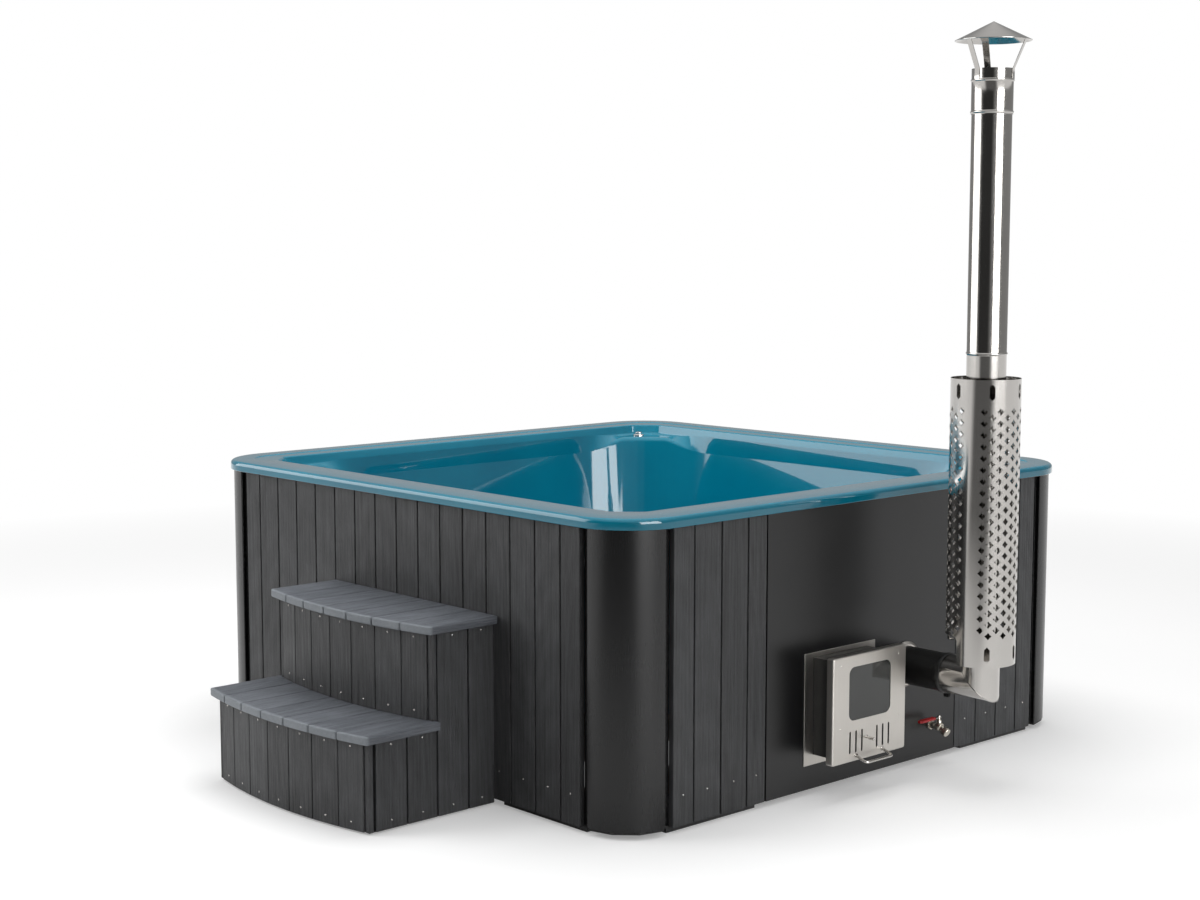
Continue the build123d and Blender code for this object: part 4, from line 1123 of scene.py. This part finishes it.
def make_clamp(radius, middle, start):
    """Band round the joint, with two ears and a hex bolt below the pipe."""
    low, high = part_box("flue_clamp")
    bore = radius + flue_fit
    centre_x = (low.x + high.x) / 2
    profile = eased_path([(bore, low.x), (radius + 0.003, low.x), (radius + 0.0045, centre_x),
                          (radius + 0.003, high.x), (bore, high.x)], 0.001, 3)
    meshes = [lathe("band", profile, start, round_sides, True)]
    ear_z = middle.z - radius - clamp_ear_drop
    place = Matrix.Translation((centre_x, middle.y - 0.012, ear_z - 0.001))
    place = place @ Matrix.Rotation(-math.pi / 2, 4, "X")
    bolt = [(0.0045, 0), (0.0045, 0.004), (0.0025, 0.004), (0.0025, 0.024)]
    meshes.append(lathe("bolt", bolt, place, 6))
    outline = eased_loop(rectangle(clamp_ear_half, 0.009, centre_x, ear_z + 0.001), 0.003, 4)
    for side in (-0.0055, 0.0035):
        y = middle.y + side
        rings = [[(u, y + depth, v) for u, v in outline] for depth in (0, clamp_ear_sheet)]
        meshes.append(capped("ear", rings))
    add_piece("flue_clamp_band", joined("flue_clamp_band", meshes), "black_steel", "flue_clamp")


def make_elbow(radius, middle):
    """Two pipe lengths that meet on a slanted welded seam."""
    low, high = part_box("flue_elbow")
    axis_x = high.x - radius
    rings = []
    for reach in (radius, radius - flue_sheet):
        level = []
        seam = []
        top = []
        for side in range(round_sides):
            turn = 2 * math.pi * side / round_sides
            up = reach * math.sin(turn)
            y = middle.y + reach * math.cos(turn)
            level.append((low.x, y, middle.z + up))
            seam.append((axis_x - up, y, middle.z + up))
            top.append((axis_x - up, y, high.z))
        part = [level, seam, top]
        rings += part if reach == radius else part[::-1]
    pipes = face_outward(join_rings("elbow", rings, close=True))

    def seam_point(number):
        turn = 2 * math.pi * number / round_sides
        up = (radius + weld_lift) * math.sin(turn)
        return Vector((axis_x - up, middle.y + (radius + weld_lift) * math.cos(turn), middle.z + up))

    bead = []
    for number in range(round_sides):
        point = seam_point(number)
        ahead = (seam_point(number + 1) - seam_point(number - 1)).normalized()
        outward = (point - Vector((axis_x, middle.y, middle.z))).normalized()
        other = ahead.cross(outward)
        bead.append([point + (outward * math.cos(turn) + other * math.sin(turn)) * weld_radius
                     for turn in (math.radians(60 * step) for step in range(6))])
    weld = face_outward(join_rings("weld", bead, close=True))
    add_piece("mitred_elbow", joined("mitred_elbow", [pipes, weld]), "stainless", "flue_elbow", angle=30)


def make_chimney(radius):
    """Lower and upper pipe, cap sleeve, rain cone and its straps."""
    middle = centre_of("upper_chimney_pipe")
    place = upright(middle.x, middle.y)
    low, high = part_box("lower_chimney_pipe")
    profile = flue_profile(radius, low.z, high.z)
    turned_piece("lower_flue", profile, place, "stainless", "lower_chimney_pipe")
    low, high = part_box("upper_chimney_pipe")
    profile = flue_profile(radius, low.z, high.z, [low.z + upper_bead_rise])
    turned_piece("upper_flue", profile, place, "stainless", "upper_chimney_pipe")
    low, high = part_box("cap_sleeve")
    profile = flue_profile(radius + flue_sheet, low.z, high.z, [low.z + sleeve_bead_rise, sleeve_bead_z])
    turned_piece("cap_sleeve_pipe", profile, place, "stainless", "cap_sleeve")
    low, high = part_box("rain_cone")
    reach = (high.x - low.x) / 2
    slope = (high.z - low.z - 0.002) / reach
    profile = [(0.0005, high.z), (0.006, high.z - 0.003), (reach - 0.004, low.z + 0.004 * slope + 0.002),
               (reach, low.z + 0.0022), (reach + 0.0004, low.z + 0.0010), (reach - 0.001, low.z),
               (reach - 0.003, low.z + 0.0008), (reach - 0.006, low.z + 0.006 * slope),
               (0.006, high.z - 0.003 - cone_sheet * 2), (0.0005, high.z - cone_sheet * 2)]
    turned_piece("rain_cap", profile, place, "stainless", "rain_cone", angle=30)
    dress("cap_straps", "cap_strap_bands", "stainless", 0.0006)


def guard_holes(across):
    """Staggered columns of four-pointed holes in the unrolled sheet."""
    side = guard_hole_waist * 1.12
    star = []
    for quarter in range(4):
        for reach, turn in ((guard_hole_half, 0), (side, 27), (guard_hole_waist, 45), (side, 63)):
            angle = math.radians(turn + 90 * quarter)
            star.append((reach * math.cos(angle), reach * math.sin(angle)))
    holes = []
    for column in range(guard_open_columns):
        along = across(guard_first_angle + column * 360.0 / guard_columns)
        start = guard_first_row + (0 if column % 2 else guard_row_pitch / 2)
        for row in range(guard_rows):
            up = start + row * guard_row_pitch
            holes.append([(along + u, up + v) for u, v in star])
    return holes


def guard_slots(across, seam):
    """Pointed slots at both ends, but for the lower ones that the notch would cut."""
    wide = guard_slot_half_width
    tall = guard_slot_half_height
    corners = [(-wide, wide - tall), (0, -tall), (wide, wide - tall),
               (wide, tall - wide), (0, tall), (-wide, tall - wide)]
    slots = []
    for turn in range(0, 360, guard_slot_step):
        angle = (guard_slot_angle + turn - seam) % 360 + seam
        for z in (guard_slot_low, guard_slot_high):
            if z == guard_slot_high or abs(angle - 180) >= guard_notch_turn + 5:
                slots.append(eased_loop([(across(angle) + u, z + v) for u, v in corners], 0.0008, 2))
    return slots


def make_guard():
    """Round perforated guard, drawn flat, cut into strips and wrapped round the pipe."""
    low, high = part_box("heat_guard")
    middle = centre_of("upper_chimney_pipe")
    radius = (high.y - low.y) / 2
    seam = guard_first_angle - guard_seam_turn

    def across(angle):
        return math.radians(angle - seam) * radius

    length = across(seam + 360)
    start = 180 - guard_notch_turn
    end = 180 + guard_notch_turn
    foot = guard_notch_top - guard_notch_cut_rise
    notch = [(start, low.z), (start, foot), (start + guard_notch_cut_turn, guard_notch_top),
             (end - guard_notch_cut_turn, guard_notch_top), (end, foot), (end, low.z)]
    outline = [(0, low.z)] + [(across(angle), z) for angle, z in notch]
    outline += [(length, low.z), (length, high.z), (0, high.z)]
    mesh = filled_sheet("guard", outline, guard_holes(across) + guard_slots(across, seam), 0.0,
                        Matrix.Identity(4))
    form = bmesh.new()
    form.from_mesh(mesh)
    for number in range(1, guard_strips):
        cut = (length * number / guard_strips, 0, 0)
        geometry = list(form.verts) + list(form.edges) + list(form.faces)
        bmesh.ops.bisect_plane(form, geom=geometry, dist=0.000001, plane_co=cut, plane_no=(1, 0, 0))
    for vertex in form.verts:
        angle = vertex.co.x / radius + math.radians(seam)
        z = vertex.co.y
        vertex.co = (middle.x + radius * math.cos(angle), middle.y + radius * math.sin(angle), z)
    bmesh.ops.remove_doubles(form, verts=form.verts, dist=2 * weld_reach)
    bmesh.ops.recalc_face_normals(form, faces=form.faces)
    form.to_mesh(mesh)
    form.free()
    piece = new_object("perforated_guard", mesh)
    wall = piece.modifiers.new("sheet", "SOLIDIFY")
    wall.thickness = guard_sheet
    wall.offset = -1 if mesh.polygons[0].normal.dot(mesh.polygons[0].center - middle) > 0 else 1
    evaluated(piece)
    fit(soften(piece, 0, 30), "stainless", "heat_guard")


def make_valve():
    """Drain valve: hex end, barrel, tilted outlet, stem, lever and ribbed cap."""
    low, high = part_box("valve_body")
    wall_x = low.x
    y = (low.y + high.y) / 2
    x = centre_of("valve_plug").x
    z = valve_z
    start = along_x(0, y, z)
    outlet_place = Matrix.Translation((x, y, z)) @ Matrix.Rotation(math.radians(90 + outlet_tilt), 4, "Y")
    corners = [(valve_bore, wall_x), (hex_radius, wall_x), (hex_radius, wall_x + hex_length),
               (valve_bore, wall_x + hex_length)]
    barrel = [(valve_bore, wall_x + 0.008), (0.012, wall_x + 0.010), (0.0125, wall_x + 0.016),
              (0.0108, wall_x + 0.020), (0.0125, x - 0.012), (0.0155, x - 0.008), (0.0165, x),
              (0.0150, x + 0.009), (0.0120, x + 0.013)]
    outlet = [(0.0078, 0.004), (0.0125, 0.006), (0.0125, 0.016), (0.0112, 0.018), (0.0112, 0.036),
              (0.0080, 0.037)]
    neck = [(0.0115, z + 0.010), (0.0095, z + 0.015), (0.0085, z + 0.0235), (0.0055, z + 0.0240)]
    meshes = [lathe("hex", eased_path(corners, 0.001, 2), start, 6), lathe("barrel", barrel, start, 40),
              lathe("outlet", outlet, outlet_place, 40), lathe("neck", neck, upright(x, y), 32)]
    add_piece("valve_casting", joined("valve_casting", meshes), "nickel_brass", "valve_body",
              edge=0.0004, angle=38)
    stem = [(0.0049, z), (0.0049, z + 0.0305), (0.0044, z + 0.032)]
    turned_piece("valve_stem", stem, upright(x, y), "nickel_brass", "valve_plug", sides=32, closed=False)
    make_lever(x, y)
    ribs = []
    for side in range(cap_ribs):
        radius = cap_rib_radius if side % 3 else cap_groove_radius
        ribs.append((radius, 2 * math.pi * side / cap_ribs))
    rings = []
    for scale, height in ((0.62, 0.0420), (0.90, 0.0418), (0.99, 0.0405), (1.0, 0.0385), (1.0, 0.0235),
                          (0.95, 0.0225), (0.80, 0.0225), (0.80, 0.0390), (0.10, 0.0390)):
        ring = [(radius * scale * math.cos(turn), radius * scale * math.sin(turn)) for radius, turn in ribs]
        rings.append([outlet_place @ Vector((u, v, height)) for u, v in ring])
    add_piece("outlet_cap_cup", capped("cap", rings), "nickel_brass", "drain_cap")


def make_lever(x, y):
    """Flat lever, its dipped grip and a domed nut."""
    low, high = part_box("valve_lever")
    thick = high.z - low.z
    middle_z = (low.z + high.z) / 2
    reach = y - low.y

    def strip(name, start, end, grow):
        """Bar along the lever, thicker by a margin, with a round nose and tip."""
        half_height = thick / 2 + grow
        rings = []
        for offset in np.linspace(start, end, 24):
            nose = 1 if offset < 0.004 else math.sqrt(max(0.05, 1 - (offset / lever_nose) ** 2))
            tip = min(1.0, max(0.25, (reach + grow + offset) / 0.006) ** 0.5)
            corners = rectangle((lever_half_width + grow) * nose * tip, half_height)
            loop = eased_loop(corners, min(half_height, 0.0028) * 0.9, 3)
            rings.append([(x + u, y + offset, middle_z + v) for u, v in loop])
        return capped(name, rings)

    plate = strip("lever_plate", lever_half_width, -reach + 0.0005, 0.0)
    add_piece("lever_plate", plate, "stainless", "valve_lever")
    low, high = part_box("lever_grip")
    sleeve = strip("lever_grip_sleeve", high.y - y, low.y - y, grip_thickness)
    add_piece("lever_grip_sleeve", sleeve, "red_grip", "lever_grip")
    low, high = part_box("lever_nut")
    profile = [(0.0058, low.z), (0.0058, high.z - 0.0008), (0.0048, high.z), (0.0028, high.z)]
    nut = lathe("lever_lock_nut", profile, upright(x, y), 6)
    add_piece("lever_lock_nut", nut, "stainless", "lever_nut", edge=0.0003, angle=30)


def make_drain_grille():
    """Flat strainer on the footwell floor."""
    low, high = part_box("drain_grille")
    middle = centre_of("drain_grille")
    turns = [math.radians(5 * step) for step in range(72)]
    outline = [(strainer_radius * math.cos(turn), strainer_radius * math.sin(turn)) for turn in turns]
    holes = []
    for row in (-1, 0, 1):
        slot = rectangle(0.0095 - 0.0015 * abs(row), 0.0014, 0, row * strainer_slot_pitch)
        holes.append(eased_loop(slot, 0.0013, 3))
    place = Matrix.Translation((middle.x, middle.y, low.z))
    sheet = filled_sheet("drain_strainer", outline, holes, high.z - low.z, place)
    add_piece("drain_strainer", sheet, "stainless", "drain_grille", edge=0.0008)


def make_button():
    """Chrome press button in its bevelled bezel."""
    low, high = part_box("button_bezel")
    middle = centre_of("button_bezel")
    place = upright(middle.x, middle.y)
    corners = [(bezel_bore, low.z + 0.001), (bezel_bore, high.z), (0.019, high.z), (0.0255, high.z - 0.0035),
               (bezel_radius, low.z), (bezel_bore, low.z)]
    turned_piece("button_ring", eased_path(corners, 0.0010, 3), place, "button_metal", "button_bezel",
                 sides=64)
    low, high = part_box("air_button")
    corners = [(0.0005, low.z), (button_radius, low.z), (button_radius, high.z - 0.0018), (0.0105, high.z),
               (0.004, high.z - 0.0012), (0.0005, high.z - 0.0014)]
    turned_piece("button_plunger", eased_path(corners, 0.0016, 5), place, "button_metal", "air_button",
                 sides=64, closed=False)


def make_floor():
    """White floor that takes soft shadows and fades into the white behind the tub."""
    half = 60
    corners = [(-half, -half, 0), (half, -half, 0), (half, half, 0), (-half, half, 0)]
    floor = new_object("studio_floor", mesh_of("studio_floor", corners, [(0, 1, 2, 3)]))
    material = bpy.data.materials.new("studio_floor")
    material.use_nodes = True
    material.node_tree.nodes.clear()
    graph = Graph(material.node_tree)
    ray = graph.add("ShaderNodeLightPath").outputs
    place = graph.add("ShaderNodeTexCoord").outputs["Object"]
    split = graph.add("ShaderNodeSeparateXYZ", {0: place}).outputs
    mirrored = graph.math("MAXIMUM", ray["Is Glossy Ray"], ray["Is Transmission Ray"])
    seen = graph.math("MAXIMUM", ray["Is Camera Ray"], mirrored)
    dark = graph.math("MULTIPLY", studio_band(graph, split, -58, 24, 14), ray["Is Glossy Ray"])
    seen = graph.math("SUBTRACT", seen, graph.math("MULTIPLY", dark, 0.85))
    white = (1, 1, 1, 1)
    matt = graph.add("ShaderNodeBsdfDiffuse", {"Color": (0.80, 0.80, 0.80, 1)})
    lift = graph.add("ShaderNodeEmission", {"Color": white, "Strength": graph.math("MULTIPLY", seen, 0.28)})
    near = graph.add("ShaderNodeAddShader", {0: matt.outputs[0], 1: lift.outputs[0]})
    far = graph.add("ShaderNodeEmission", {"Color": white, "Strength": seen})
    distance = graph.add("ShaderNodeVectorMath", {0: place}, operation="LENGTH").outputs["Value"]
    share = graph.remap(distance, 3.0, 6.5, 0.0, 1.0)
    blend = graph.add("ShaderNodeMixShader", {0: share, 1: near.outputs[0], 2: far.outputs[0]})
    graph.add("ShaderNodeOutputMaterial", {"Surface": blend.outputs[0]})
    floor.data.materials.append(material)


def make_lamps():
    """Soft lamps in front, to the right and overhead."""
    softbox("key_left", (-3.2, -5.2, 4.2), (0, -0.4, 0.6), 3.2, 140)
    softbox("key_right", (5.6, -0.6, 3.6), (0.4, 0, 0.7), 3.0, 40)
    softbox("overhead", (0.0, 0.2, 6.0), (0, 0, 0.6), 4.5, 250)


def studio_band(graph, split, middle, half, soft):
    """One inside a band of azimuth round the studio, in degrees, and nought outside it."""
    azimuth = graph.math("ARCTAN2", split[1], split[0])
    turned = graph.math("WRAP", graph.math("SUBTRACT", azimuth, math.radians(middle)), math.pi, -math.pi)
    away = graph.math("ABSOLUTE", turned)
    return graph.remap(away, math.radians(half), math.radians(half + soft), 1.0, 0.0)


def softbox(name, place, aim, width, power):
    """Square soft lamp that lights the tub but doesn't show in it."""
    lamp = bpy.data.lights.new(name, "AREA")
    lamp.shape = "RECTANGLE"
    lamp.size = width
    lamp.size_y = width
    lamp.energy = power
    holder = bpy.data.objects.new(name, lamp)
    holder.location = place
    holder.rotation_euler = (Vector(aim) - Vector(place)).to_track_quat("-Z", "Y").to_euler()
    holder.visible_camera = False
    holder.visible_glossy = False
    bpy.context.scene.collection.objects.link(holder)


def make_world():
    """White behind the object, and pale walls with strip lights for what gloss reflects."""
    world = bpy.data.worlds.new("studio")
    bpy.context.scene.world = world
    world.use_nodes = True
    world.node_tree.nodes.clear()
    graph = Graph(world.node_tree)
    ray = graph.add("ShaderNodeLightPath").outputs
    direction = graph.add("ShaderNodeTexCoord").outputs["Generated"]
    split = graph.add("ShaderNodeSeparateXYZ", {0: direction}).outputs

    def strip(middle, half, soft, low, high):
        """One inside a band of azimuth, in degrees, that spans a range of heights."""
        side = studio_band(graph, split, middle, half, soft)
        floor_side = graph.remap(split[2], low, low + 0.04, 0.0, 1.0)
        top_side = graph.remap(split[2], high, high + 0.06, 1.0, 0.0)
        return graph.math("MULTIPLY", side, graph.math("MULTIPLY", floor_side, top_side))

    right = strip(-5, 17, 1.5, -0.2, 0.62)
    left = strip(-140, 21, 4, -0.2, 0.62)
    shade = strip(-76, 26, 16, -0.3, 0.75)
    walls = graph.math("SUBTRACT", 0.32, graph.math("MULTIPLY", shade, 0.28))
    ceiling = graph.remap(split[2], 0.45, 0.9, 0.0, 0.6)
    strips = graph.math("ADD", graph.math("MULTIPLY", right, 9.0), graph.math("MULTIPLY", left, 3.4))
    gloss = graph.math("ADD", graph.math("ADD", walls, ceiling), strips)
    glossy = ray["Is Glossy Ray"]
    soft = graph.math("MULTIPLY", graph.math("SUBTRACT", 1.0, glossy), 0.36)
    bounced = graph.math("ADD", graph.math("MULTIPLY", glossy, gloss), soft)
    seen = graph.math("MAXIMUM", ray["Is Camera Ray"], ray["Is Transmission Ray"])
    strength = graph.math("ADD", seen, graph.math("MULTIPLY", graph.math("SUBTRACT", 1.0, seen), bounced))
    backdrop = graph.add("ShaderNodeBackground", {"Color": (1, 1, 1, 1), "Strength": strength})
    graph.add("ShaderNodeOutputWorld", {"Surface": backdrop.outputs[0]})


def make_camera():
    """Camera where the photograph was taken from."""
    lens = bpy.data.cameras.new("camera")
    lens.lens = camera_lens
    lens.sensor_width = 36
    holder = bpy.data.objects.new("camera", lens)
    holder.location = camera_place
    holder.rotation_euler = (math.pi / 2 - camera_pitch, 0, camera_yaw)
    bpy.context.scene.collection.objects.link(holder)
    bpy.context.scene.camera = holder
    bpy.context.scene.view_settings.view_transform = "Standard"


finishes = make_finishes()
make_camera()
make_floor()
make_world()
make_lamps()
make_shell()
make_corner_covers()
for side in ("front", "left", "back", "right"):
    dress(side + "_boards", side + "_cladding", "dark_boards", board_edge)
for node, name in (("lower_riser_boards", "lower_riser"), ("upper_riser_boards", "upper_riser"),
                   ("step_side_boards", "step_sides"), ("step_corner_trims", "step_trims")):
    dress(node, name, "dark_boards", board_edge)
dress("stove_panel", "stove_side_panel", "panel_metal", 0.0008)
dress("stove_neck", "stove_mouth", "black_steel", 0.001)
dress("wall_flange", "stove_wall_plate", "stainless", 0.0006, finish="door_steel")
tread("lower_tread", "lower_tread_deck")
tread("upper_tread", "upper_tread_deck")
make_screws()
make_door()
make_door_fittings()
make_flue()
make_guard()
make_valve()
make_drain_grille()
make_button()
# Frame parts get the near-black finish as painted shade in the gaps under the boards and corner covers.
repaint("shade_dark_frame", "base_bearers", "corner_blocks", "corner_posts", "wall_posts", "top_rails",
        "step_frame")
repaint("frame_timber", "floor_joists")
repaint("black_plastic", "floor_packers")
repaint("black_steel", "firebox", "baffle_plate", "water_jacket", "fire_grate", "hinge_ears")
repaint("stainless", "circulation_pipes", "glass_retainer", "damper_plate", "damper_guides", "door_knuckles",
        "hinge_pins", "guard_brackets", "drain_pipe")
repaint("rope", "rope_seal")
